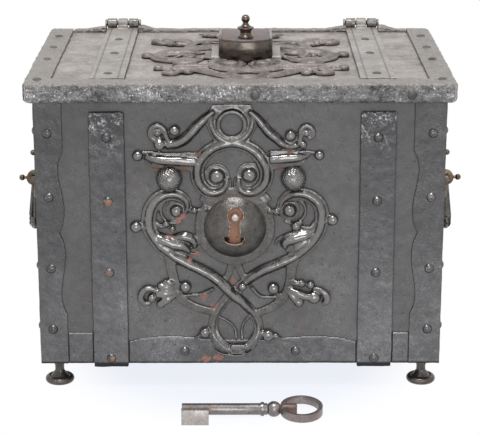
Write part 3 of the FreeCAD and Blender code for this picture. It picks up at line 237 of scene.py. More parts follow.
def iron(name, dark, light, brown, gloss=0.4, metal=0.35, dents=0.35, dent_size=9 * mm, grain=0.3,
         rust=0.3, wear=0.25, ridge_wear_and_shade=0.0, dust_and_sheen=None, top_shade=None, crevice=0.0, crevice_shade=0.25, light_middle_half_width=None,
         chips=None, engraved=(), tops_rubbed_and_lit=None, flecks=(), hatched=False):
    """Hand-worked iron: blotches from dark to light, brown bloom, pale scuffs, hammer dents and grain.

    dust_and_sheen is a colour and the height above which it lies, as dust and as painted light on top faces
    that catch the lamps. top_shade is the strength and top of painted shade that darkens it upward, and it also
    paints a shadow line along the bottom edge. crevice_shade is how dark the painted shade in crevices is, and
    light_middle_half_width the half width about the middle in which that shade is weaker, outside which the
    colour is a little darker. chips are the heights between which the black wears off, engraved where lines
    run, tops_rubbed_and_lit the plane of the front and how far proud of it the metal is lighter, as rubbing and
    as painted highlight, ridge_wear_and_shade how far convex bends are lightened, as wear and painted highlight,
    and creases darkened with painted shade, and flecks the middle, reach and colour of each small spot: traces
    of paint, rust and rubbed metal, and the painted shadow in keyhole slits.
    """
    finish = bpy.data.materials.new(name)
    finish.use_nodes = True
    tree = finish.node_tree
    shader = tree.nodes["Principled BSDF"]
    wire = Wire(tree)
    place = wire.add("ShaderNodeTexCoord", output="Object")
    across, inward, height = [wire.add("ShaderNodeSeparateXYZ", None, {"Vector": place}, output=axis)
                              for axis in "XYZ"]
    broad = place.noise(broad_blotches)
    small = place.noise(small_blotches, 6, 0.65)
    fine = place.noise(fine_blotches, 3, 0.6)
    tone = wire.add("ShaderNodeValToRGB", {"stops": ((0.38, (*dark, 1)), (0.64, (*light, 1)))},
                    {"Fac": broad * 0.35 + small * 0.4 + fine * 0.25})
    bloom = place.noise(bloom_blotches, 8, 0.7).step(0.54, 0.72) * rust
    tone = tone.under(brown, bloom)
    scuff = (fine + broad * 0.5).step(0.86, 1.0) * wear
    scuff = scuff + place.noise(scuff_blotches, 8, 0.75).step(0.6, 0.76) * wear
    tone = tone.under(shade(light, 2.6), scuff)
    pits = place.noise(pit_blotches, 2, 0.5).step(0.36, 0.26) * 0.6
    tone = tone.under(shade(dark, 0.45), pits)
    # Convex bends lightened, as wear and as painted highlight; creases darkened with painted shade.
    if ridge_wear_and_shade:
        bend = wire.add("ShaderNodeNewGeometry", output="Pointiness")
        tone = tone.under(shade(dark, 0.35), bend.step(0.49, 0.44) * (0.8 * ridge_wear_and_shade))
        tone = tone.under(shade(light, 2.2), bend.step(0.52, 0.62) * ridge_wear_and_shade)
    # Painted shade: darker upward to a top, and a painted shadow line along the bottom edge.
    if top_shade:
        strength, top = top_shade
        tone = tone.under(shade(dark, 0.4), height.step(top_shade_foot, top) * strength)
        tone = tone.under(shade(dark, 0.15), height.step(*bottom_edge_shadow))
    roughness = gloss + (small - 0.5) * 0.3 + (fine - 0.5) * 0.2
    relief = 0.0
    if chips:
        rubbed = height.step(*chips)
        tone = tone.under(shade(dark, 0.35), rubbed * 0.6)
        patches = place.noise(chip_patches, 5, 0.6).step(0.42, 0.6)
        bright = place.noise(chip_blotches, 9, 0.75).step(0.47, 0.62) * patches * rubbed
        tone = tone.under(shade(light, 3.4), bright * 0.95)
        roughness = roughness - rubbed * 0.14
        relief = bright * 0.6 + place.noise(chip_bumps, 3) * rubbed * 0.8
    # Metal proud of the front made lighter, as rubbing and as painted highlight on the raised ornament.
    if tops_rubbed_and_lit:
        plane, low, high = tops_rubbed_and_lit
        rubbed_and_lit = (plane - inward).step(low, high)
        tone = tone.under(shade(light, 2.3), rubbed_and_lit * 0.28)
        roughness = roughness - rubbed_and_lit * 0.06
    # Dust colour above a height, which is also painted light on the top faces.
    if dust_and_sheen:
        dust_and_sheen_tone, foot = dust_and_sheen
        tone = tone.under(dust_and_sheen_tone, height.step(foot, foot + dust_and_sheen_edge) * (0.5 + small * 0.6))
    for line in engraved:
        cut = wire.math("ABSOLUTE", across - line, 0).step(*cut_edge)
        tone = tone.under(shade(dark, 0.5), cut * 0.45)
        relief = relief - cut
    # Painted shade in crevices and gaps, darkest where little around is open; weaker about the middle, and the
    # colour outside the middle a little darker.
    if crevice:
        shelter = wire.add("ShaderNodeAmbientOcclusion", {"samples": 8}, {"Distance": crevice}, output="AO")
        hidden = shelter.step(0.78, 0.45)
        if light_middle_half_width:
            off_middle = wire.math("ABSOLUTE", across, 0)
            tone = tone.under(shade(dark, 0.5), off_middle.step(light_middle_half_width, light_middle_half_width + panel_fade) * 0.2)
            hidden = hidden * (0.45 + 0.55 * off_middle.step(light_middle_half_width, light_middle_half_width + light_middle_edge))
        tone = tone.under(shade(dark, crevice_shade), hidden)
    shader.inputs["Metallic"].default_value = metal
    if flecks:
        ragged = place.noise(paint_blotches, 4, 0.6) * 3
        bare = 1.0
        for spot, reach, paint_tone in flecks:
            away = wire.add("ShaderNodeVectorMath", {"operation": "DISTANCE"}, {0: place, 1: spot},
                            output="Value")
            paint = (away * (1 / reach) + ragged).step(*paint_edge)
            tone = tone.under(paint_tone, paint * 0.85)
            bare = bare * (1 - paint)
        roughness = roughness + (1 - bare) * 0.3
        tree.links.new((bare * metal).socket, shader.inputs["Metallic"])
    tree.links.new(tone.socket, shader.inputs["Base Color"])
    tree.links.new(roughness.socket, shader.inputs["Roughness"])
    hammer = wire.add("ShaderNodeTexVoronoi", {"feature": "SMOOTH_F1"},
                      {"Vector": place, "Scale": 1 / dent_size, "Smoothness": 0.8})
    bumps = hammer * dents + small * dents + (fine - pits) * grain + relief
    if hatched:
        crosswise = wire.add("ShaderNodeMapping", None,
                             {"Vector": place, "Rotation": (math.pi / 2, math.pi / 2, 0)})
        for way in (place, crosswise):
            line = wire.add("ShaderNodeTexWave", {"bands_direction": "DIAGONAL"},
                            {"Vector": way, "Scale": hatch_scale})
            bumps = bumps + line * 0.22
    normal = wire.add("ShaderNodeBump", None, {"Strength": 1.0, "Distance": bump_depth, "Height": bumps})
    tree.links.new(normal.socket, shader.inputs["Normal"])
    return finish


body_iron = iron("body_iron", (0.105, 0.102, 0.102), (0.17, 0.164, 0.163), (0.15, 0.11, 0.09), grain=0.15,
                 wear=0.1, top_shade=(0.34, 215 * mm), crevice=3 * mm)
for panel in ("back_panel", "left_panel", "right_panel", "bottom_panel"):
    node = frame["nodes"][panel]
    node.data.materials.clear()
    node.data.materials.append(body_iron)

# Corner bands, base bands and binding straps: iron strip about 2 mm thick, its free edges cut in
# waves with a chisel, riveted over the panels. The rubbed edges show brighter metal, partly painted
# highlight, and creases and gaps along them get painted shade.
front_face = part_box("front_panel")[0].y
focal_pixels = camera_lens / film_width * photo_width


def on_front(across, down, proud=2 * mm):
    """The place that the camera sees at this pixel of the photograph, so far proud of the front panel."""
    sight = camera.matrix_world.to_3x3() @ Vector(
        ((across - photo_width / 2) / focal_pixels, (photo_height / 2 - down) / focal_pixels, -1))
    return camera_place + sight * ((front_face - proud - camera_place.y) / sight.y)


red_lead_tone = (0.34, 0.16, 0.125)
base_fleck_pixels = ((203.5, 359.5, 3.6), (207.5, 359.5, 3.2), (217, 358, 3.4), (221.5, 358, 3))
base_flecks = [(on_front(across, down), reach * mm, red_lead_tone)
               for across, down, reach in base_fleck_pixels]
edge_iron = iron("edge_iron", (0.14, 0.138, 0.14), (0.28, 0.27, 0.265), (0.15, 0.11, 0.09), gloss=0.34,
                 metal=0.7, dents=0.2, rust=0.5)
# The lid's colour, put on hinge knuckles and the rim's top edge as dust and as painted light of faces turned up.
lid_dust_and_sheen = (0.29, 0.263, 0.242)
strap_iron = iron("strap_iron", (0.106, 0.106, 0.111), (0.203, 0.202, 0.209), (0.15, 0.1, 0.075),
                  gloss=0.36, metal=0.5, dents=0.6, wear=0.2, ridge_wear_and_shade=0.6, top_shade=(0.6, 150 * mm),
                  chips=(165 * mm, 205 * mm), crevice=2 * mm, crevice_shade=0.5,
                  dust_and_sheen=(lid_dust_and_sheen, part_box("lid_plate")[0].z))
band_iron = iron("band_iron", (0.088, 0.088, 0.092), (0.184, 0.183, 0.188), (0.15, 0.1, 0.075), gloss=0.36,
                 metal=0.5, dents=0.7, wear=0.25, ridge_wear_and_shade=0.6, top_shade=(0.55, 150 * mm), crevice=2 * mm,
                 crevice_shade=0.4, flecks=base_flecks)
seam = 0.005 * mm
flat_below = math.radians(1)
hard_above = math.radians(38)
smooth_below = math.radians(40)
slot_of_neighbour = -1


def take(piece):
    """This piece alone, selected and active."""
    bpy.ops.object.select_all(action="DESELECT")
    piece.select_set(True)
    bpy.context.view_layer.objects.active = piece


def worked(piece, kind, **settings):
    """A modifier with these settings, put on the active piece and applied."""
    change = piece.modifiers.new(kind.lower(), kind)
    for setting, value in settings.items():
        setattr(change, setting, value)
    bpy.ops.object.modifier_apply(modifier=change.name)


def forged(name, body, finish, ease=0.0, worn=None):
    """A copy of a CAD node, its seams merged, its hard edges rounded and its curves shaded smooth."""
    take(frame["nodes"][name])
    bpy.ops.object.duplicate()
    piece = bpy.context.active_object
    piece.name = name + "_forged"
    piece.data.name = piece.name
    del piece["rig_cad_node"]
    piece.data.materials.clear()
    piece.data.materials.append(finish)
    bpy.ops.object.mode_set(mode="EDIT")
    bpy.ops.mesh.select_all(action="SELECT")
    bpy.ops.mesh.remove_doubles(threshold=seam)
    bpy.ops.mesh.dissolve_limited(angle_limit=flat_below)
    bpy.ops.object.mode_set(mode="OBJECT")
    if ease:
        edge_slot = slot_of_neighbour
        if worn:
            piece.data.materials.append(worn)
            edge_slot = 1
        worked(piece, "BEVEL", width=ease, segments=2, limit_method="ANGLE", angle_limit=hard_above,
               material=edge_slot)
    bpy.ops.object.shade_smooth_by_angle(angle=smooth_below)
    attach(piece, body)
    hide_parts(name)
    return piece


def beaten(piece, mesh_size, depth, reach, level=0.75):
    """Dents pressed into a piece all over, as deep and as far apart as said, and smaller ones between."""
    take(piece)
    worked(piece, "REMESH", mode="VOXEL", voxel_size=mesh_size)
    for size, strength in ((reach, depth), (reach / 3, depth / 2)):
        dents = bpy.data.textures.new(piece.name + "_dents", "CLOUDS")
        dents.noise_scale = size
        dents.noise_depth = 1
        worked(piece, "DISPLACE", texture=dents, texture_coords="LOCAL", strength=strength, mid_level=level)
    bpy.ops.object.shade_smooth()


for band in ("front_left_corner_band", "front_right_corner_band", "rear_left_corner_band",
             "rear_right_corner_band", "front_base_band", "back_base_band", "left_base_band",
             "right_base_band"):
    beaten(forged(band, "chest", band_iron), mesh_size=0.9 * mm, depth=0.5 * mm, reach=16 * mm)
for strap in ("left_binding_strap", "right_binding_strap"):
    bound = forged(strap, "chest", strap_iron)
    beaten(bound, mesh_size=0.9 * mm, depth=0.7 * mm, reach=14 * mm)

# Feet: four turned buttons of dark brown iron, one under each corner. Each has a stem that is riveted
# up through the bottom panel.
foot_iron = iron("foot_iron", (0.055, 0.048, 0.046), (0.15, 0.13, 0.122), (0.11, 0.065, 0.05), gloss=0.26,
                 metal=0.7, dents=0.15, rust=0.6)
for foot in ("front_left_foot", "front_right_foot", "rear_left_foot", "rear_right_foot"):
    forged(foot, "chest", foot_iron, ease=0.3 * mm)

# Rivets: iron pins with low round heads, hammered over from inside, which hold bands and straps to
# the panels. Those of the left strap have lost their black and show copper-brown metal.
copper_brown = (0.36, 0.17, 0.085)
pink_brown = (0.21, 0.135, 0.12)
rubbed_rivets = (((107.5, 204.3), 4 * mm, copper_brown), ((108, 273.8), 4.4 * mm, pink_brown),
                 ((112.5, 358.2), 2 * mm, copper_brown))
rivet_proud = 4 * mm
rivet_flecks = [(on_front(*pixel, rivet_proud), reach, tone) for pixel, reach, tone in rubbed_rivets]
rivet_iron = iron("rivet_iron", (0.07, 0.069, 0.071), (0.17, 0.165, 0.16), (0.16, 0.09, 0.055), gloss=0.24,
                  metal=0.9, dents=0.5, dent_size=3 * mm, rust=0.4, wear=0.4, flecks=rivet_flecks)
for rivets in ("front_rivets", "back_rivets", "left_rivets", "right_rivets"):
    forged(rivets, "chest", rivet_iron)

# Mouth ledges: angle strips of the same iron as the bands, riveted inside the mouth of the chest.
# The bolts of the lid catch under them.
forged("mouth_ledges", "chest", band_iron, ease=0.3 * mm, worn=edge_iron)

# Front scrollwork: one pierced plate of strapwork, chased in the round, with strands that pass over
# and under, knobs at their ends and two hatched balls. It is riveted flat on the front panel.
plate_sink = 0.4 * mm
plate_grain = 0.55 * mm
plate_faces = 90000
ball_stand = 1.5 * mm
boss_at_pixel = (235, 227)
boss_place = on_front(*boss_at_pixel)
band_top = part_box("front_base_band")[1].z - boss_place.z
band_lift = 2 * mm
band_slope = 6 * mm
upright = Matrix.Rotation(math.pi / 2, 4, "X")
stand_up = Matrix.Translation((boss_place.x, front_face, boss_place.z)) @ upright
# each cross-section: its left half from the foot to the middle, in half widths across and up
profiles = {
    "cord": ((-1, -1.2), (-1, 0), (-0.85, 0.42), (-0.5, 0.72), (0, 0.82)),
    "rib": ((-1, -0.12), (-1, 0.4), (-0.86, 0.55), (-0.7, 0.72), (-0.45, 1.05), (-0.2, 1.2), (0, 1.24)),
    "roll": ((-1, -0.12), (-1, 0.34), (-0.92, 0.46), (-0.8, 0.46), (-0.7, 0.34), (-0.52, 0.64),
             (-0.28, 0.88), (0, 0.98)),
    "slab": ((-1, -0.08), (-1, 0.2), (-0.93, 0.3), (0, 0.32)),
    "block": ((-1, -0.08), (-1, 0.55), (-0.9, 0.68), (0, 0.7)),
}
chisels = {}
for name, half in profiles.items():
    outline = [*half, *[(-x, y) for x, y in reversed(half[:-1])]]
    shape = bpy.data.curves.new("chisel_" + name, "CURVE")
    shape.dimensions = "2D"
    spline = shape.splines.new("POLY")
    spline.points.add(len(outline) - 1)
    for point, (x, y) in zip(spline.points, outline):
        point.co = (x, y, 0, 1)
    spline.use_cyclic_u = True
    chisels[name] = bpy.data.objects.new("chisel_" + name, shape)
    bpy.context.scene.collection.objects.link(chisels[name])

# each strand: its name, its cross-section, its half widths in mm at the start, middle and end, its path in
# photo pixels, and how many mm it passes over another
strands = (
    ("crest_plate", "slab", (3.2, 3.0, 3.2), ((211, 109.5), (231, 109), (251.5, 109.2))),
    ("left_crest_ground", "slab", (4.0, 3.6, 2.6), ((215.5, 110), (210.5, 120), (212.5, 131))),
    ("right_crest_ground", "slab", (4.0, 3.6, 2.6), ((247.5, 110), (252.5, 120), (250.5, 131))),
    ("left_crest_arm", "rib", (2.4, 5.2, 3.4),
     ((214, 111.5), (206, 118), (198, 125.5), (191.3, 132.7), (184.7, 139), (177, 143), (166, 145.5))),
    ("left_crest_edge", "cord", (0.9, 1.3, 1.3), ((195, 135), (188, 142.5), (179, 147), (166, 148.5))),
    ("left_crest_curl", "cord", (1.8, 2.4, 1.8),
     ((169, 142), (166, 136.5), (163.5, 129.5), (157.5, 125.7), (151, 129), (150.5, 136), (155.5, 140),
      (161, 137.5))),
    ("right_crest_arm", "rib", (2.4, 5.4, 1.8),
     ((249, 111.5), (256.5, 118), (262.6, 125), (268.5, 132.3), (275.6, 138.2), (282.5, 144), (290.5, 147),
      (299.5, 146))),
    ("right_crest_edge", "cord", (0.9, 1.3, 1.1),
     ((269.5, 129.5), (277.5, 136.5), (285.5, 141.5), (293, 142.5), (297, 138.5))),
    ("right_crest_curl", "cord", (1.8, 2.2, 1.6),
     ((299.5, 145), (300.5, 137), (301.5, 129.5), (306.5, 126), (312, 129.5), (313, 135.5),
      (308.5, 139.3))),
    ("left_c_scroll", "roll", (2.1, 7.2, 3.2),
     ((250, 111.5), (252.3, 120), (250.5, 129.5), (244.5, 137.5), (233, 143), (219, 146), (208.3, 151.8),
      (200.9, 159.8), (197.2, 169.3), (198, 179.3), (203, 188), (211, 192.8), (219.5, 191.8),
      (225.5, 186.5), (227, 178.5))),
    ("right_c_scroll", "roll", (2.1, 7.2, 3.2),
     ((213, 111.5), (210.7, 120), (212.5, 129.5), (218.5, 137.5), (230, 143), (242.3, 145.4),
      (251.8, 149.8), (259.2, 156.3), (264.3, 164.3), (266.8, 173), (265.3, 181.8), (259.8, 189),
      (251.5, 193), (243, 191.7), (238.7, 185.5), (238.7, 178))),
    ("left_bar_ground", "slab", (7, 7, 5.5), ((196, 162), (175, 161.5), (152, 160.5))),
    ("left_bar_top", "cord", (0.9, 0.9, 1.4), ((198, 155), (170, 154.3), (150, 152.7), (138, 153.5))),
    ("left_bar", "cord", (2.9, 4.2, 1.5), ((196, 162), (175, 160.5), (157, 159.5), (145, 157.3))),
    ("left_bar_foot", "cord", (0.8, 0.8, 0.9),
     ((193, 169.5), (170, 168.2), (153.5, 167.5), (147.5, 163), (143.5, 157))),
    ("right_bar_ground", "slab", (7, 7, 5.5), ((270, 160), (285, 159.6), (302, 159))),
    ("right_bar_top", "cord", (0.9, 0.9, 1.4),
     ((267.5, 153), (285, 153), (300, 152), (310, 152.3), (319, 154.5))),
    ("right_bar", "cord", (2.9, 4.2, 1.0), ((270, 159), (285, 158), (300, 157), (310, 155.7))),
    ("right_bar_foot", "cord", (0.8, 0.8, 0.9),
     ((274.5, 166.8), (290, 166), (302, 165), (306, 159.5), (310, 155.7))),
    ("left_heart_scroll", "roll", (2.2, 7.6, 3.6),
     ((183.5, 215), (187.5, 206), (182.5, 197.8), (171, 194.5), (159.7, 197.7), (152.2, 206),
      (148.8, 216.5), (149.5, 228), (155, 239), (164, 249), (175, 257), (189, 264.3))),
    ("left_s_band", "rib", (1.6, 6.4, 1.6),
     ((157, 242), (165, 250), (175, 257), (189, 264.3), (203, 270.7), (217, 279.5), (227, 289),
      (235.5, 297), (243, 303), (250, 310), (255, 316.5)), 1.3),
    ("right_loop", "roll", (2.4, 4.2, 2.8),
     ((243, 303), (250, 310), (256, 318.5), (258.7, 327.5), (256.5, 336.5), (250, 344), (240, 349.5))),
    ("right_heart_scroll", "roll", (2.2, 7.2, 3.6),
     ((281.5, 216.5), (280.5, 206.5), (285, 198.7), (294, 194.3), (303.4, 194.3), (313.5, 198.7),
      (320.3, 207), (321.8, 219), (319, 230.5), (313.7, 240), (305, 249.3), (296, 256.5), (284.5, 262))),
    ("right_s_band", "rib", (1.6, 6.4, 1.8),
     ((312, 242), (305, 249.3), (296, 256.5), (284.5, 262), (271.5, 267.2), (260.5, 272), (250.7, 278.2),
      (243, 285), (235, 292.5))),
    ("left_loop", "roll", (2.4, 4.2, 2.8),
     ((235, 292.5), (227.3, 298.8), (221, 306.5), (216, 315), (213, 324.5), (213, 333), (218, 341.5),
      (226, 347.5), (234, 350.5))),
    ("loop_left_vein", "cord", (1.0, 1.1, 1.0),
     ((220, 312.5), (217.3, 321), (217, 329), (220.7, 337.5), (228.5, 344.5))),
    ("loop_right_vein", "cord", (1.0, 1.1, 1.0),
     ((252, 314), (247, 319.5), (243, 325.5), (241.7, 331.5), (242.5, 339))),
    ("loop_middle_vein", "cord", (1.0, 1.1, 1.0),
     ((219.5, 317.5), (229, 322.7), (234.7, 329), (236.5, 338))),
    ("clasp", "block", (5.4, 5.4, 5.4), ((238.2, 343.5), (238.2, 348), (238.2, 352.5))),
    ("clasp_edge", "cord", (0.7, 0.8, 0.7),
     ((211.5, 346.5), (219, 352.5), (228, 354.8), (238, 355.5), (248.2, 353), (256, 346.5))),
    ("left_volute_ring", "cord", (1.0, 1.5, 1.0),
     ((182, 222.5), (172, 223.3), (163.5, 218.5), (160.8, 210), (164.3, 202.7), (172, 199.7),
      (180.5, 202.3))),
    ("right_volute_ring", "cord", (1.0, 1.5, 1.0),
     ((284, 222), (293, 223.7), (302.5, 219), (305.6, 210.5), (302.2, 202.7), (294, 199.7), (286, 202.3))),
    ("left_tendril", "cord", (1.2, 2.2, 1.6), ((155.5, 221.5), (161, 226.5), (168, 225.5))),
    ("right_tendril", "cord", (1.2, 2.0, 1.4), ((314.5, 222), (309.5, 228.3), (302, 227))),
    ("left_stud_stem", "cord", (1.8, 1.8, 2.0), ((135.5, 227), (148, 227))),
    ("right_stud_stem", "cord", (1.8, 1.8, 2.0), ((333, 220), (321, 221))),
    ("left_leaf_ground", "slab", (5, 9, 6), ((156, 238), (172, 246), (188, 250))),
    ("left_leaf_middle", "rib", (2.0, 8.2, 2.4),
     ((153.5, 232.5), (160, 238.5), (172.5, 243.5), (182, 246), (189.5, 252))),
    ("left_leaf_lower", "rib", (1.6, 6.4, 1.8), ((152.5, 240), (160, 246), (168.5, 250.5), (178, 255))),
    ("left_leaf_upper", "rib", (1.6, 6.4, 1.8),
     ((168, 239.5), (177, 237.7), (186, 237.3), (193.7, 241.5), (195, 249))),
    ("left_leaf_tip", "cord", (0.9, 1.2, 0.7), ((188, 251.5), (193.5, 254.5), (199, 250.5))),
    ("right_leaf_ground", "slab", (5, 9, 6), ((315, 237), (300, 242), (284, 245))),
    ("right_leaf_upper", "rib", (2.0, 8.4, 2.6),
     ((317, 232.5), (306, 235.5), (295, 238), (286.3, 241.7), (284.7, 248.5))),
    ("right_leaf_lower", "rib", (1.6, 6.6, 2.0),
     ((315.5, 238.5), (306, 241.7), (297.5, 247), (293.7, 253))),
    ("right_leaf_edge", "cord", (0.9, 1.5, 0.9),
     ((307, 232.7), (296.5, 234), (286, 235.5), (277.5, 240), (275.5, 246.5))),
    ("right_leaf_tip", "cord", (0.9, 1.4, 0.8), ((311.5, 244.5), (305.5, 249), (299, 253.5))),
    ("left_flange_link", "cord", (1.6, 1.4, 1.6), ((189.5, 212), (200, 210.3), (211, 209))),
    ("right_flange_link", "cord", (1.6, 1.4, 1.6), ((265, 210.7), (273, 211.7), (281.5, 213))),
    ("flange_shield", "slab", (5.2, 5.2, 5.2),
     ((205, 204.5), (209, 198.5), (221, 195.5), (235, 194.7), (249, 195.5), (261.5, 198.5), (266, 204.5))),
    ("left_s_ground", "slab", (4.6, 4.4, 3.2),
     ((160, 244), (167, 251.5), (175, 257), (189, 264.3), (203, 270.7), (217, 279.5), (227, 289),
      (235.5, 297), (243, 303), (250, 310), (256, 318.5), (258.7, 327.5), (256.5, 336.5))),
    ("right_s_ground", "slab", (4.6, 4.4, 3.2),
     ((309, 245), (303, 251), (296, 256.5), (284.5, 262), (271.5, 267.2), (260.5, 272), (250.7, 278.2),
      (243, 285), (235, 292.5), (227.3, 298.8), (221, 306.5), (216, 315), (213, 324.5), (213, 333))),
    ("left_leg", "block", (2.6, 2.5, 2.5), ((231.3, 263), (229.5, 272), (225.5, 280.5))),
    ("right_leg", "block", (2.6, 2.5, 2.5), ((238, 263), (240.5, 272), (245.5, 280.5))),
    ("left_stem", "block", (3.6, 3.4, 3.0),
     ((169.5, 257), (171, 267), (173, 276), (175.4, 285), (177, 291.5), (181.5, 299), (191, 305.5),
      (203, 310), (215, 312.8))),
    ("right_stem", "block", (3.6, 3.4, 3.0),
     ((294, 259), (291.6, 269), (290.6, 278), (288.9, 287), (285.5, 294.5), (280, 302), (271.6, 307.5),
      (264, 311), (256, 314))),
    ("left_sprig_1", "cord", (1.4, 3.4, 2.2), ((175, 284.5), (170, 283), (165, 282.3))),
    ("left_sprig_2", "cord", (1.4, 3.8, 2.4), ((175, 288), (167, 287.7), (160, 286))),
    ("left_sprig_3", "cord", (1.6, 4.6, 2.8), ((176, 292), (166, 293), (156.5, 293.3))),
    ("left_sprig_4", "cord", (1.6, 4.2, 2.6), ((176, 295), (168, 298.5), (160.7, 304))),
    ("left_sprig_curl", "cord", (2.0, 3.0, 1.8),
     ((158, 292.5), (152.5, 289), (146, 289.2), (141.7, 293.5), (141.3, 299.3), (145, 303.6),
      (150.7, 303))),
    ("right_sprig_1", "cord", (1.4, 2.8, 2.2), ((289.5, 282.5), (296, 283), (302, 283.5))),
    ("right_sprig_2", "cord", (1.4, 1.6, 1.6), ((301, 283.5), (310.5, 285))),
    ("right_sprig_3", "cord", (1.6, 4.0, 2.8), ((288, 289), (298, 293.5), (308, 296.5))),
    ("right_sprig_curl", "cord", (1.4, 3.8, 1.8),
     ((313, 288.5), (321, 290.7), (326.7, 296), (326.3, 301.5), (322.5, 304))),
    ("right_sprig_4", "cord", (1.6, 3.8, 2.4), ((287.5, 290.5), (293.7, 297), (298.8, 302.5))),
    ("left_bud_stem", "cord", (1.6, 1.4, 1.6), ((185.5, 288), (178, 294))),
    ("right_bud_stem", "cord", (1.6, 1.4, 1.6), ((273.5, 289.5), (282, 299))),
    ("left_cross_vine", "cord", (1.1, 1.2, 1.6), ((181.5, 296.3), (190, 295.6), (202, 294.4), (214, 289))),
    ("right_cross_vine", "cord", (1.1, 1.2, 1.6),
     ((284.5, 297), (273.5, 297.4), (260.5, 296.5), (251, 287.5))),
    ("left_loop_tail", "cord", (1.8, 1.6, 0.6), ((213.5, 330.5), (205, 332.7), (199, 336), (193.5, 338.7))),
    ("right_loop_tail", "cord", (1.8, 1.6, 0.6), ((258, 332.5), (268, 335), (276, 336.3), (283, 341))),
)
# each knob: its middle in photo pixels, its radius in mm, and how high it stands where that isn't usual
knobs = (
    (174.5, 130.5, 4.0), (157.2, 133, 3.0), (159.3, 144.6, 4.4), (290.6, 135.6, 4.1), (303.3, 145, 2.9),
    (306.6, 133.5, 2.5), (217, 176.3, 5.6), (249.2, 175, 5.4), (137.5, 156, 4.0), (319.4, 155.4, 3.8),
    (176.3, 211, 4.5), (289.6, 210.4, 5.0), (166, 224, 2.8), (172.6, 229.2, 2.4), (300.3, 222, 2.2),
    (296, 226.4, 3.8), (136, 227, 4.4), (332.5, 220, 4.3), (242.3, 285.5, 3.0, 4.2), (165.7, 282.5, 2.6),
    (160.8, 286.2, 2.9), (152, 298, 3.4), (164.6, 298.7, 2.8), (161, 304, 3.3), (301.5, 283.4, 3.2),
    (310.5, 285, 3.3), (314, 297.3, 5.0), (298.8, 302.5, 3.7), (185.5, 287, 4.4), (273.5, 288.5, 4.4),
    (205, 332.6, 4.2), (268, 335.2, 4.6), (276, 336.2, 2.4), (194.3, 210.7, 2.7), (205.3, 208.7, 2.2),
    (269.7, 210.7, 2.3), (276.6, 211.8, 2.8),
)
knob_stand = 1.5 * mm
ring_at = (231.6, 125.1)
ring_radius = 9.2 * mm
ring_band = 1.7
flange_radius = 28.3 * mm
flange_thickness = 2.1 * mm
cups = ((217, 176.3, 9), (249.2, 175, 9), (176.3, 211, 7.5), (289.6, 210.4, 7.5))
cup_floor = 1.1 * mm
balls = ((169.2, 179, 9.2), (293.5, 178.5, 9.0))


def flat_place(across, down, proud=2 * mm):
    """A place on the front in the plate's own plan: across from the boss, up from it, and 0."""
    place = on_front(across, down, proud) - boss_place
    return Vector((place.x, place.z, 0))


def strand(name, section, widths, places, over=0.0, closed=False):
    """A bar of one cross-section swept along a smooth path, as wide as its three widths say."""
    line = bpy.data.curves.new(name, "CURVE")
    line.dimensions = "3D"
    line.twist_mode = "Z_UP"
    line.resolution_u = 6
    line.bevel_mode = "OBJECT"
    line.bevel_object = chisels[section]
    line.use_fill_caps = True
    spline = line.splines.new("BEZIER")
    spline.use_cyclic_u = closed
    spline.bezier_points.add(len(places) - 1)
    sink = -min(y for x, y in profiles[section])
    for index, (point, place) in enumerate(zip(spline.bezier_points, places)):
        t = index / (len(places) - 1)
        width = (widths[0] * (1 - t) ** 2 + widths[1] * 2 * t * (1 - t) + widths[2] * t * t) * mm
        over_band = min(1, max(0, (band_top + band_lift - place.y) / band_slope)) * band_lift
        point.co = place + Vector((0, 0, sink * width - plate_sink + over_band + over))
        point.radius = width
        point.handle_left_type = "AUTO"
        point.handle_right_type = "AUTO"
    bar = bpy.data.objects.new(name, line)
    bpy.context.scene.collection.objects.link(bar)
    bar.select_set(True)
    return bar


def joined(name):
    """Everything selected, made a mesh and joined under one name."""
    bpy.ops.object.convert(target="MESH")
    bpy.ops.object.join()
    piece = bpy.context.active_object
    piece.name = name
    piece.data.name = name
    return piece


def join_to(whole):
    """Everything selected, joined to this piece."""
    whole.select_set(True)
    bpy.context.view_layer.objects.active = whole
    bpy.ops.object.join()


bpy.ops.object.select_all(action="DESELECT")
for name, section, widths, path, *over in strands:
    strand(name, section, widths, [flat_place(*pixel) for pixel in path], sum(over) * mm)
ring_middle = flat_place(*ring_at)
ring_places = [ring_middle + Matrix.Rotation(turn * math.pi / 4, 3, "Z") @ Vector((ring_radius, 0, 0))
               for turn in range(8)]
bar = strand("crest_ring", "cord", (ring_band, ring_band, ring_band), ring_places, closed=True)
bpy.context.view_layer.objects.active = bar
plate = joined("front_scrollwork_chased")
rounds = [(Vector((0, 0, 0)), flange_radius, flange_thickness)]
rounds += [(flat_place(across, down), radius * mm, cup_floor) for across, down, radius in cups]
for middle, radius, thickness in rounds:
    bpy.ops.object.select_all(action="DESELECT")
    bpy.ops.mesh.primitive_cylinder_add(vertices=96, radius=radius, depth=thickness + plate_sink,
                                        location=middle + Vector((0, 0, (thickness - plate_sink) / 2)))
    join_to(plate)
for across, down, radius, *stand in knobs:
    raised = Vector((0, 0, stand[0] * mm if stand else knob_stand))
    bpy.ops.object.select_all(action="DESELECT")
    bpy.ops.mesh.primitive_uv_sphere_add(segments=20, ring_count=12, radius=radius * mm,
                                         location=flat_place(across, down) + raised)
    join_to(plate)
worked(plate, "REMESH", mode="VOXEL", voxel_size=plate_grain)
worked(plate, "SMOOTH", factor=0.5, iterations=3)
hand = bpy.data.textures.new("hand", "CLOUDS")
hand.noise_scale = 5 * mm
worked(plate, "DISPLACE", texture=hand, texture_coords="LOCAL", strength=0.6 * mm, mid_level=0.6)
worked(plate, "DECIMATE", ratio=min(1.0, plate_faces / len(plate.data.polygons)))
rust_tone = (0.15, 0.075, 0.045)
fleck_pixels = ((183, 218, 4), (178.5, 220, 3.4), (170.5, 235, 3.4), (196, 253.5, 3.8), (189, 260, 3.6),
                (204, 297, 4.2), (214, 306, 3.6), (186, 318, 3), (234, 282, 3.4))
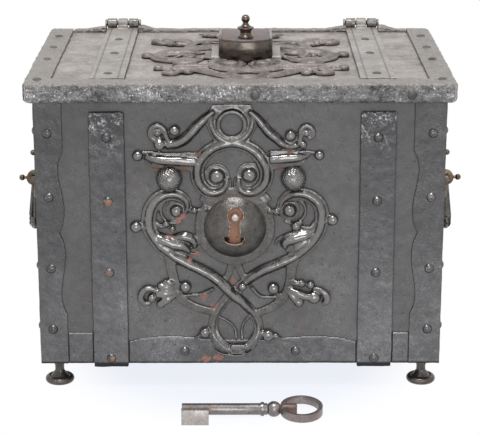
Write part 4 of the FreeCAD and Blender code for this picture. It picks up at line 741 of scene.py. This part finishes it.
stain_pixels = ((156, 168, 4), (170, 169, 4), (184, 170, 4), (198, 153.5, 3), (289, 150, 3), (280, 167, 3),
                (158, 149, 3))
flecks = [(on_front(across, down), reach * mm, red_lead_tone) for across, down, reach in fleck_pixels]
flecks += [(on_front(across, down), reach * mm, rust_tone) for across, down, reach in stain_pixels]
scroll_iron = iron("scroll_iron", (0.095, 0.092, 0.09), (0.18, 0.174, 0.171), (0.14, 0.1, 0.08), gloss=0.24,
                   metal=0.88, dents=0.12, dent_size=8 * mm, grain=0.08, rust=0.35, wear=0.06, ridge_wear_and_shade=0.3,
                   crevice=1.2 * mm, crevice_shade=0.9, tops_rubbed_and_lit=(front_face, 2 * mm, 6 * mm), flecks=flecks)
plate.data.materials.clear()
plate.data.materials.append(scroll_iron)
front_iron = iron("front_iron", (0.102, 0.1, 0.103), (0.167, 0.163, 0.166), (0.15, 0.11, 0.09), grain=0.15,
                  rust=0.55, wear=0.16, top_shade=(0.34, 215 * mm), crevice=2.6 * mm, crevice_shade=0.15, light_middle_half_width=74 * mm,
                  flecks=flecks)
frame["nodes"]["front_panel"].data.materials.clear()
frame["nodes"]["front_panel"].data.materials.append(front_iron)
hatched_iron = iron("hatched_iron", (0.12, 0.117, 0.115), (0.28, 0.27, 0.263), (0.12, 0.08, 0.06),
                    gloss=0.25, metal=0.9, dents=0.15, grain=0.15, hatched=True)
for across, down, radius in balls:
    bpy.ops.object.select_all(action="DESELECT")
    bpy.ops.mesh.primitive_uv_sphere_add(segments=40, ring_count=24, radius=radius * mm,
                                         location=flat_place(across, down) + Vector((0, 0, ball_stand)))
    ball = bpy.context.active_object
    ball.data.materials.append(hatched_iron)
    join_to(plate)
bpy.ops.object.shade_smooth_by_angle(angle=math.radians(50))

bpy.ops.object.duplicate()
lid_plate_chased = bpy.context.active_object

plate.data.transform(stand_up)
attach(plate, "chest")
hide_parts("front_scrollwork")
for chisel in chisels.values():
    bpy.data.objects.remove(chisel)

# Boss: a dome of iron raised over a stake, with a flange round it, and a keyhole cut for show. Red-lead
# packing closes the keyhole from behind, and a steel pin stands in its eye.
boss_iron = iron("boss_iron", (0.06, 0.057, 0.054), (0.165, 0.154, 0.144), (0.13, 0.09, 0.065), gloss=0.33,
                 metal=0.85, dents=0.9, dent_size=14 * mm, grain=0.15, wear=0.1)
# Pale reddish metal on the keyhole's cut edge: wear and red lead, and also a painted highlight along the cut.
keyhole_edge = iron("keyhole_edge", (0.36, 0.2, 0.13), (0.55, 0.43, 0.36), (0.42, 0.2, 0.12), gloss=0.35,
                    metal=0.6, dents=0.2, rust=0.7)
# Black spots at the ends of the keyhole's foot are painted shadow in its slits.
slit_shadow_black = (0.01, 0.009, 0.008)
packing_proud = 7 * mm
slit_pixels = ((225.4, 239.4), (227.6, 239.2), (241.6, 239.2), (243.4, 239.4))
slit_reach = 3.2 * mm
slit_shadows = [(on_front(*pixel, packing_proud), slit_reach, slit_shadow_black) for pixel in slit_pixels]
red_lead = iron("red_lead", (0.34, 0.165, 0.105), (0.46, 0.26, 0.185), (0.26, 0.1, 0.06), gloss=0.7,
                metal=0.0, dents=0.4, dent_size=4 * mm, crevice=2 * mm, flecks=slit_shadows)
filed_steel = iron("filed_steel", (0.22, 0.205, 0.195), (0.45, 0.43, 0.42), (0.18, 0.12, 0.085), gloss=0.36,
                   metal=0.9, dents=0.15, dent_size=5 * mm, grain=0.2, rust=0.5)
dome_radius = 22.5 * mm
dome_rise = 11 * mm
dome_sheet = 1.6 * mm
dome_curve = (dome_radius ** 2 + dome_rise ** 2) / (2 * dome_rise)
keyhole_proud = 12 * mm
keyhole_eye = (235.5, 217)
keyhole_eye_pixels = 7.4
eye_start = -55
eye_sweep = 290
eye_steps = 22
keyhole_slot = ((239.3, 224.3), (239.6, 237.3), (244, 237.3), (243.8, 240.5), (241, 243.6), (235.7, 245),
                (229.2, 244.2), (224.6, 241.6), (224, 237.3), (229.2, 237.3), (230.6, 224.3))
bpy.ops.object.select_all(action="DESELECT")
bpy.ops.mesh.primitive_uv_sphere_add(segments=96, ring_count=64, radius=dome_curve,
                                     location=(0, 0, flange_thickness + dome_rise - dome_curve))
dome = bpy.context.active_object
dome.name = "boss_dome_raised"
dome.data.name = dome.name
bpy.ops.object.transform_apply(location=True, rotation=True, scale=True)
bpy.ops.object.mode_set(mode="EDIT")
bpy.ops.mesh.select_all(action="SELECT")
bpy.ops.mesh.bisect(plane_co=(0, 0, flange_thickness), plane_no=(0, 0, 1), clear_inner=True)
bpy.ops.object.mode_set(mode="OBJECT")
worked(dome, "SOLIDIFY", thickness=dome_sheet, offset=-1)
dome.data.materials.append(boss_iron)
dome.data.materials.append(keyhole_edge)
eye_turns = [math.radians(eye_start + eye_sweep * step / eye_steps) for step in range(eye_steps + 1)]
keyhole_pixels = [(keyhole_eye[0] + keyhole_eye_pixels * math.cos(turn),
                   keyhole_eye[1] - keyhole_eye_pixels * math.sin(turn)) for turn in eye_turns]
keyhole_pixels += list(reversed(keyhole_slot))
outline = [flat_place(across, down, keyhole_proud) for across, down in keyhole_pixels]
bpy.ops.object.select_all(action="DESELECT")
bpy.ops.mesh.primitive_circle_add(vertices=len(outline), fill_type="NGON")
punch = bpy.context.active_object
for corner, place in zip(punch.data.vertices, outline):
    corner.co = place + Vector((0, 0, flange_thickness))
bpy.ops.object.mode_set(mode="EDIT")
bpy.ops.mesh.select_all(action="SELECT")
bpy.ops.mesh.extrude_region_move(TRANSFORM_OT_translate={"value": (0, 0, 2 * dome_rise)})
bpy.ops.mesh.select_all(action="SELECT")
bpy.ops.mesh.normals_make_consistent(inside=False)
bpy.ops.object.mode_set(mode="OBJECT")
punch.data.materials.append(keyhole_edge)
take(dome)
worked(dome, "BOOLEAN", operation="DIFFERENCE", solver="EXACT", material_mode="TRANSFER", object=punch)
bpy.data.objects.remove(punch)
for face in dome.data.polygons:
    face.select = face.material_index == 1
bpy.ops.object.mode_set(mode="EDIT")
bpy.ops.mesh.select_mode(type="EDGE")
bpy.ops.mesh.region_to_loop()
bpy.ops.mesh.remove_doubles(threshold=0.12 * mm)
bpy.ops.mesh.bevel(offset=0.8 * mm, segments=2, material=1)
bpy.ops.mesh.select_mode(type="VERT")
bpy.ops.object.mode_set(mode="OBJECT")
bpy.ops.object.shade_smooth_by_angle(angle=smooth_below)
dome.data.transform(stand_up)
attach(dome, "chest")
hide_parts("boss_dome")
forged("boss_packing", "chest", red_lead, ease=0.2 * mm)
pin_steel = iron("pin_steel", (0.4, 0.35, 0.32), (0.62, 0.57, 0.54), (0.3, 0.18, 0.12), gloss=0.34,
                 metal=0.6, dents=0.2, dent_size=4 * mm)
forged("boss_pin", "chest", pin_steel, ease=0.6 * mm)

# Handles: steel bails with a swelling grip that hang a little bowed. Each end is hooked in an eye of
# bronze, whose shank goes through the side panel.
old_bronze = iron("old_bronze", (0.075, 0.056, 0.036), (0.19, 0.145, 0.09), (0.07, 0.04, 0.028), gloss=0.32,
                  metal=0.85, dents=0.15, dent_size=5 * mm, grain=0.15, rust=0.5)
grip_steel = iron("grip_steel", (0.07, 0.064, 0.057), (0.2, 0.185, 0.17), (0.12, 0.08, 0.06), gloss=0.26,
                  metal=0.95, dents=0.15, dent_size=5 * mm, grain=0.2, rust=0.5)
bail_shoulder = 130 * mm
bail_swell = 1.9 * mm
bail_drop = 0.05
bail_bow = 0.07
bail_fade = 6 * mm
for side in ("left", "right"):
    forged(side + "_handle_eyes", "chest", old_bronze, ease=0.2 * mm)
    bail = forged(side + "_handle", side + "_handle", grip_steel, ease=0.2 * mm)
    for corner in bail.data.vertices:
        below_eye = min(1, max(0, (bail_shoulder - corner.co.z) / bail_fade))
        corner.co += corner.normal * bail_swell * below_eye
        hang = max(0, bail_shoulder - corner.co.z) * below_eye
        corner.co.x += math.copysign(hang * bail_bow, corner.co.x)
        corner.co.z -= hang * bail_drop

# Lid: a plate of sheet iron with angle-iron rims hammered over its front and sides, a band at the
# back, and two hinge straps that go on as knuckles, all riveted. It is coloured a lighter brown grey
# than the body, which is painted light: the sheen that its top faces catch from the lamps.
lid_iron = iron("lid_iron", (0.16, 0.145, 0.133), (0.52, 0.482, 0.455), (0.22, 0.16, 0.13), gloss=0.5,
                metal=0.3, dents=1.0, dent_size=12 * mm, grain=0.5, rust=0.4, crevice=3 * mm)
engraved_lines = (-101.5 * mm, -85 * mm, 88.5 * mm, 104.5 * mm)
lid_strap_iron = iron("lid_strap_iron", (0.2, 0.184, 0.173), (0.48, 0.452, 0.43), (0.22, 0.16, 0.13),
                      gloss=0.48, metal=0.3, dents=0.5, dent_size=10 * mm, grain=0.4, rust=0.3, ridge_wear_and_shade=0.4,
                      crevice=2 * mm, engraved=engraved_lines)
dust_and_sheen_depth = 2.2 * mm
# Its many pale scuffs are wear and also painted glints; its top edge takes the lid colour, as dust and painted
# light.
rim_iron = iron("rim_iron", (0.045, 0.044, 0.046), (0.375, 0.366, 0.366), (0.17, 0.125, 0.1), gloss=0.34,
                metal=0.6, dents=2.0, dent_size=3.5 * mm, grain=1.8, rust=0.35, wear=0.95, ridge_wear_and_shade=0.9,
                dust_and_sheen=(lid_dust_and_sheen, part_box("lid_front_rim")[1].z - dust_and_sheen_depth))
lid_half_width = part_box("lid_front_rim")[1].x
lid_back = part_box("lid_left_rim")[1].y
rear_round = 9 * mm
hinge_middles = (-93 * mm, 96.5 * mm)
hinge_half_width = 12.5 * mm
hump_reach = 18 * mm
hump_rise = 1.3
lid_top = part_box("lid_front_rim")[1].z
rivet_flatness = 0.55
lid_rivet_iron = iron("lid_rivet_iron", (0.055, 0.05, 0.047), (0.15, 0.135, 0.125), (0.15, 0.1, 0.08),
                      gloss=0.5, metal=0.3, dents=0.6, dent_size=4 * mm)


def rounded_behind(piece):
    """The two rear corners of the lid, rubbed round."""
    for corner in piece.data.vertices:
        out = abs(corner.co.x) - (lid_half_width - rear_round)
        back = corner.co.y - (lid_back - rear_round)
        reach = math.hypot(out, back)
        if out > 0 and back > 0 and reach > rear_round:
            corner.co.x -= math.copysign(out * (1 - rear_round / reach), corner.co.x)
            corner.co.y -= back * (1 - rear_round / reach)


rounded_behind(forged("lid_plate", "lid", lid_iron))
for rim in ("lid_front_rim", "lid_left_rim", "lid_right_rim", "lid_rear_band"):
    rail = forged(rim, "lid", rim_iron)
    beaten(rail, mesh_size=0.9 * mm, depth=1.1 * mm, reach=11 * mm, level=0.55)
    rounded_behind(rail)
    if rim == "lid_rear_band":
        band_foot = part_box(rim)[0].z
        for corner in rail.data.vertices:
            beside = min(abs(corner.co.x - middle) for middle in hinge_middles) - hinge_half_width
            rise = 0.5 + 0.5 * math.cos(math.pi * min(1, max(0, beside / hump_reach)))
            corner.co.z += max(0, corner.co.z - band_foot) * rise * hump_rise
for side in ("left", "right"):
    lid_strap = forged(side + "_lid_strap", "lid", lid_strap_iron)
    beaten(lid_strap, mesh_size=0.8 * mm, depth=0.6 * mm, reach=16 * mm)
    forged(side + "_hinge_pin", "chest", strap_iron, ease=0.3 * mm)
heads = forged("lid_rivets", "lid", lid_rivet_iron)
for corner in heads.data.vertices:
    if corner.co.z > lid_top:
        corner.co.z = lid_top + (corner.co.z - lid_top) * rivet_flatness

# Lid scrollwork: a pierced iron plate of the same pattern, turned about, a little wider and shallower.
# It is riveted on the lid plate round the keyhole of the lock.
low_relief = 4 * mm
high_relief_press = 0.45
relief_press = 0.85
lid_box_low, lid_box_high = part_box("lid_scrollwork")
# Lighter than the front scrollwork's iron, as painted light of the lid top; its creases and crevices get painted
# shade.
lid_scroll_iron = iron("lid_scroll_iron", (0.1, 0.087, 0.08), (0.29, 0.256, 0.238), (0.16, 0.115, 0.09),
                       gloss=0.45, metal=0.4, dents=0.4, dent_size=6 * mm, grain=0.3, rust=0.4, ridge_wear_and_shade=0.9,
                       crevice=4 * mm)
lid_plate_chased.name = "lid_scrollwork_chased"
lid_plate_chased.data.name = "lid_scrollwork_chased"
lid_plate_chased.data.materials[0] = lid_scroll_iron
lid_plate_chased.data.materials[1] = lid_scroll_iron
for corner in lid_plate_chased.data.vertices:
    if corner.co.z > low_relief:
        corner.co.z = low_relief + (corner.co.z - low_relief) * high_relief_press
spans = [Vector(corner) for corner in lid_plate_chased.bound_box]
plan_low = Vector((min(span.x for span in spans), min(span.y for span in spans), 0))
plan_high = Vector((max(span.x for span in spans), max(span.y for span in spans), 0))
lid_middle = (lid_box_low + lid_box_high) / 2
plan_middle = (plan_low + plan_high) / 2
stretch = Matrix.Diagonal(((lid_box_high.x - lid_box_low.x) / (plan_high.x - plan_low.x),
                           (lid_box_high.y - lid_box_low.y) / (plan_high.y - plan_low.y), relief_press, 1))
lid_plate_chased.data.transform(Matrix.Translation((lid_middle.x, lid_middle.y, lid_box_low.z))
                                @ Matrix.Rotation(math.pi, 4, "Z") @ stretch
                                @ Matrix.Translation(-plan_middle))
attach(lid_plate_chased, "lid")
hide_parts("lid_scrollwork")

# Keyhole housing, cover and finial: a low box of polished iron on a sole plate round the keyhole in
# the lid, a brown iron flap hinged on its pin, and a turned knob of bronze to lift the flap by.
# Its orange-brown blotches are partly a bloom of rust and partly painted reflection glints on the polished box.
polished_iron = iron("polished_iron", (0.06, 0.052, 0.045), (0.18, 0.16, 0.14), (0.3, 0.15, 0.07),
                     gloss=0.18, metal=0.95, dents=0.5, dent_size=8 * mm, grain=0.08, rust=0.6)
cover_iron = iron("cover_iron", (0.1, 0.073, 0.068), (0.18, 0.137, 0.13), (0.15, 0.09, 0.07), gloss=0.4,
                  metal=0.4, dents=0.2, grain=0.2, rust=0.4)
sole_left = -21.2 * mm
sole_right = 30.2 * mm
sole_set_back = 6 * mm
sole_sheet = 2.6 * mm
sole_low = Vector((sole_left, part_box("keyhole_housing")[0].y + sole_set_back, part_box("lid_plate")[1].z))
sole_high = Vector((sole_right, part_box("keyhole_housing")[1].y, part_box("keyhole_housing")[0].z + sole_sheet))
bpy.ops.object.select_all(action="DESELECT")
bpy.ops.mesh.primitive_cube_add(size=1, location=(sole_low + sole_high) / 2, scale=sole_high - sole_low)
sole = bpy.context.active_object
sole.name = "keyhole_sole_plate"
sole.data.name = sole.name
bpy.ops.object.transform_apply(location=True, rotation=True, scale=True)
worked(sole, "BEVEL", width=0.8 * mm, segments=3)
sole.data.materials.append(lid_strap_iron)
beaten(sole, mesh_size=0.6 * mm, depth=0.5 * mm, reach=9 * mm)
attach(sole, "lid")
forged("keyhole_housing", "lid", polished_iron, ease=0.5 * mm, worn=edge_iron)
forged("cover_pin", "lid", filed_steel, ease=0.2 * mm)
forged("keyhole_cover", "keyhole_cover", cover_iron, ease=0.4 * mm, worn=edge_iron)
finial_bronze = iron("finial_bronze", (0.06, 0.044, 0.036), (0.2, 0.155, 0.13), (0.11, 0.055, 0.04),
                     gloss=0.26, metal=0.9, dents=0.12, dent_size=5 * mm, grain=0.1, rust=0.6)
forged("cover_finial", "keyhole_cover", finial_bronze, ease=0.2 * mm)

# Lock works: under the lid, a main bolt with two heads, bell cranks on pins that carry its stroke to
# the side bolts, guides, spring, bridge and drill pin, all of filed steel and carried by the lock plate.
for name in ("lock_plate", "crank_pins", "bolt_guides", "lock_bridge", "drill_pin", "bolt_spring"):
    forged(name, "lid", filed_steel, ease=0.2 * mm)
for name in ("main_bolt", "left_crank", "right_crank", "left_side_bolt", "right_side_bolt"):
    forged(name, name, filed_steel, ease=0.2 * mm)

# Key: forged steel with a piped barrel, a T-shaped bit, turned collars and an oval bow on a square
# tang. It is a loose piece that lies in front of the chest.
bit_end = -16 * mm
shank_end = 24 * mm
bit_steel = iron("bit_steel", (0.3, 0.27, 0.255), (0.56, 0.52, 0.5), (0.24, 0.17, 0.13), gloss=0.36,
                 metal=0.85, dents=0.12, dent_size=5 * mm, grain=0.1, rust=0.4, wear=0.1)
brass_tint = (0.26, 0.2, 0.07)
copper_tint = (0.34, 0.19, 0.09)
shank_set_back = 14 * mm
key_set_out = front_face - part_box("key")[0].y - shank_set_back
tints = (((189, 406.5), 3.2 * mm, brass_tint), ((209.5, 410), 1.8 * mm, copper_tint))
shank_steel = iron("shank_steel", (0.16, 0.15, 0.146), (0.27, 0.257, 0.252), (0.2, 0.14, 0.1), gloss=0.3,
                   metal=0.85, dents=0.08, dent_size=5 * mm, grain=0.06, rust=0.4, wear=0.08,
                   flecks=[(on_front(*pixel, key_set_out), reach, tone) for pixel, reach, tone in tints])
tang_steel = iron("tang_steel", (0.15, 0.1, 0.095), (0.27, 0.18, 0.17), (0.17, 0.1, 0.08), gloss=0.45,
                  metal=0.5, dents=0.3, dent_size=5 * mm, grain=0.25)
bow_steel = iron("bow_steel", (0.19, 0.156, 0.15), (0.34, 0.3, 0.295), (0.17, 0.1, 0.08), gloss=0.36,
                 metal=0.8, dents=0.12, dent_size=5 * mm, grain=0.1, rust=0.6, wear=0.12)
key = forged("key", "key", bit_steel, ease=0.6 * mm)
key.data.materials.append(shank_steel)
key.data.materials.append(bow_steel)
for face in key.data.polygons:
    face.material_index = (face.center.x > bit_end) + (face.center.x > shank_end)
key_low, key_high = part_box("key")
tang_across = 34 * mm
tang_size = (11 * mm, 6 * mm, 7.6 * mm)
tang_middle = Vector((tang_across, (key_low.y + key_high.y) / 2, key_high.z / 2))
bpy.ops.object.select_all(action="DESELECT")
bpy.ops.mesh.primitive_cube_add(size=1, location=tang_middle, scale=tang_size)
tang = bpy.context.active_object
tang.data.materials.append(tang_steel)
worked(tang, "BEVEL", width=1.2 * mm, segments=3)
bpy.ops.object.shade_smooth_by_angle(angle=smooth_below)
join_to(key)
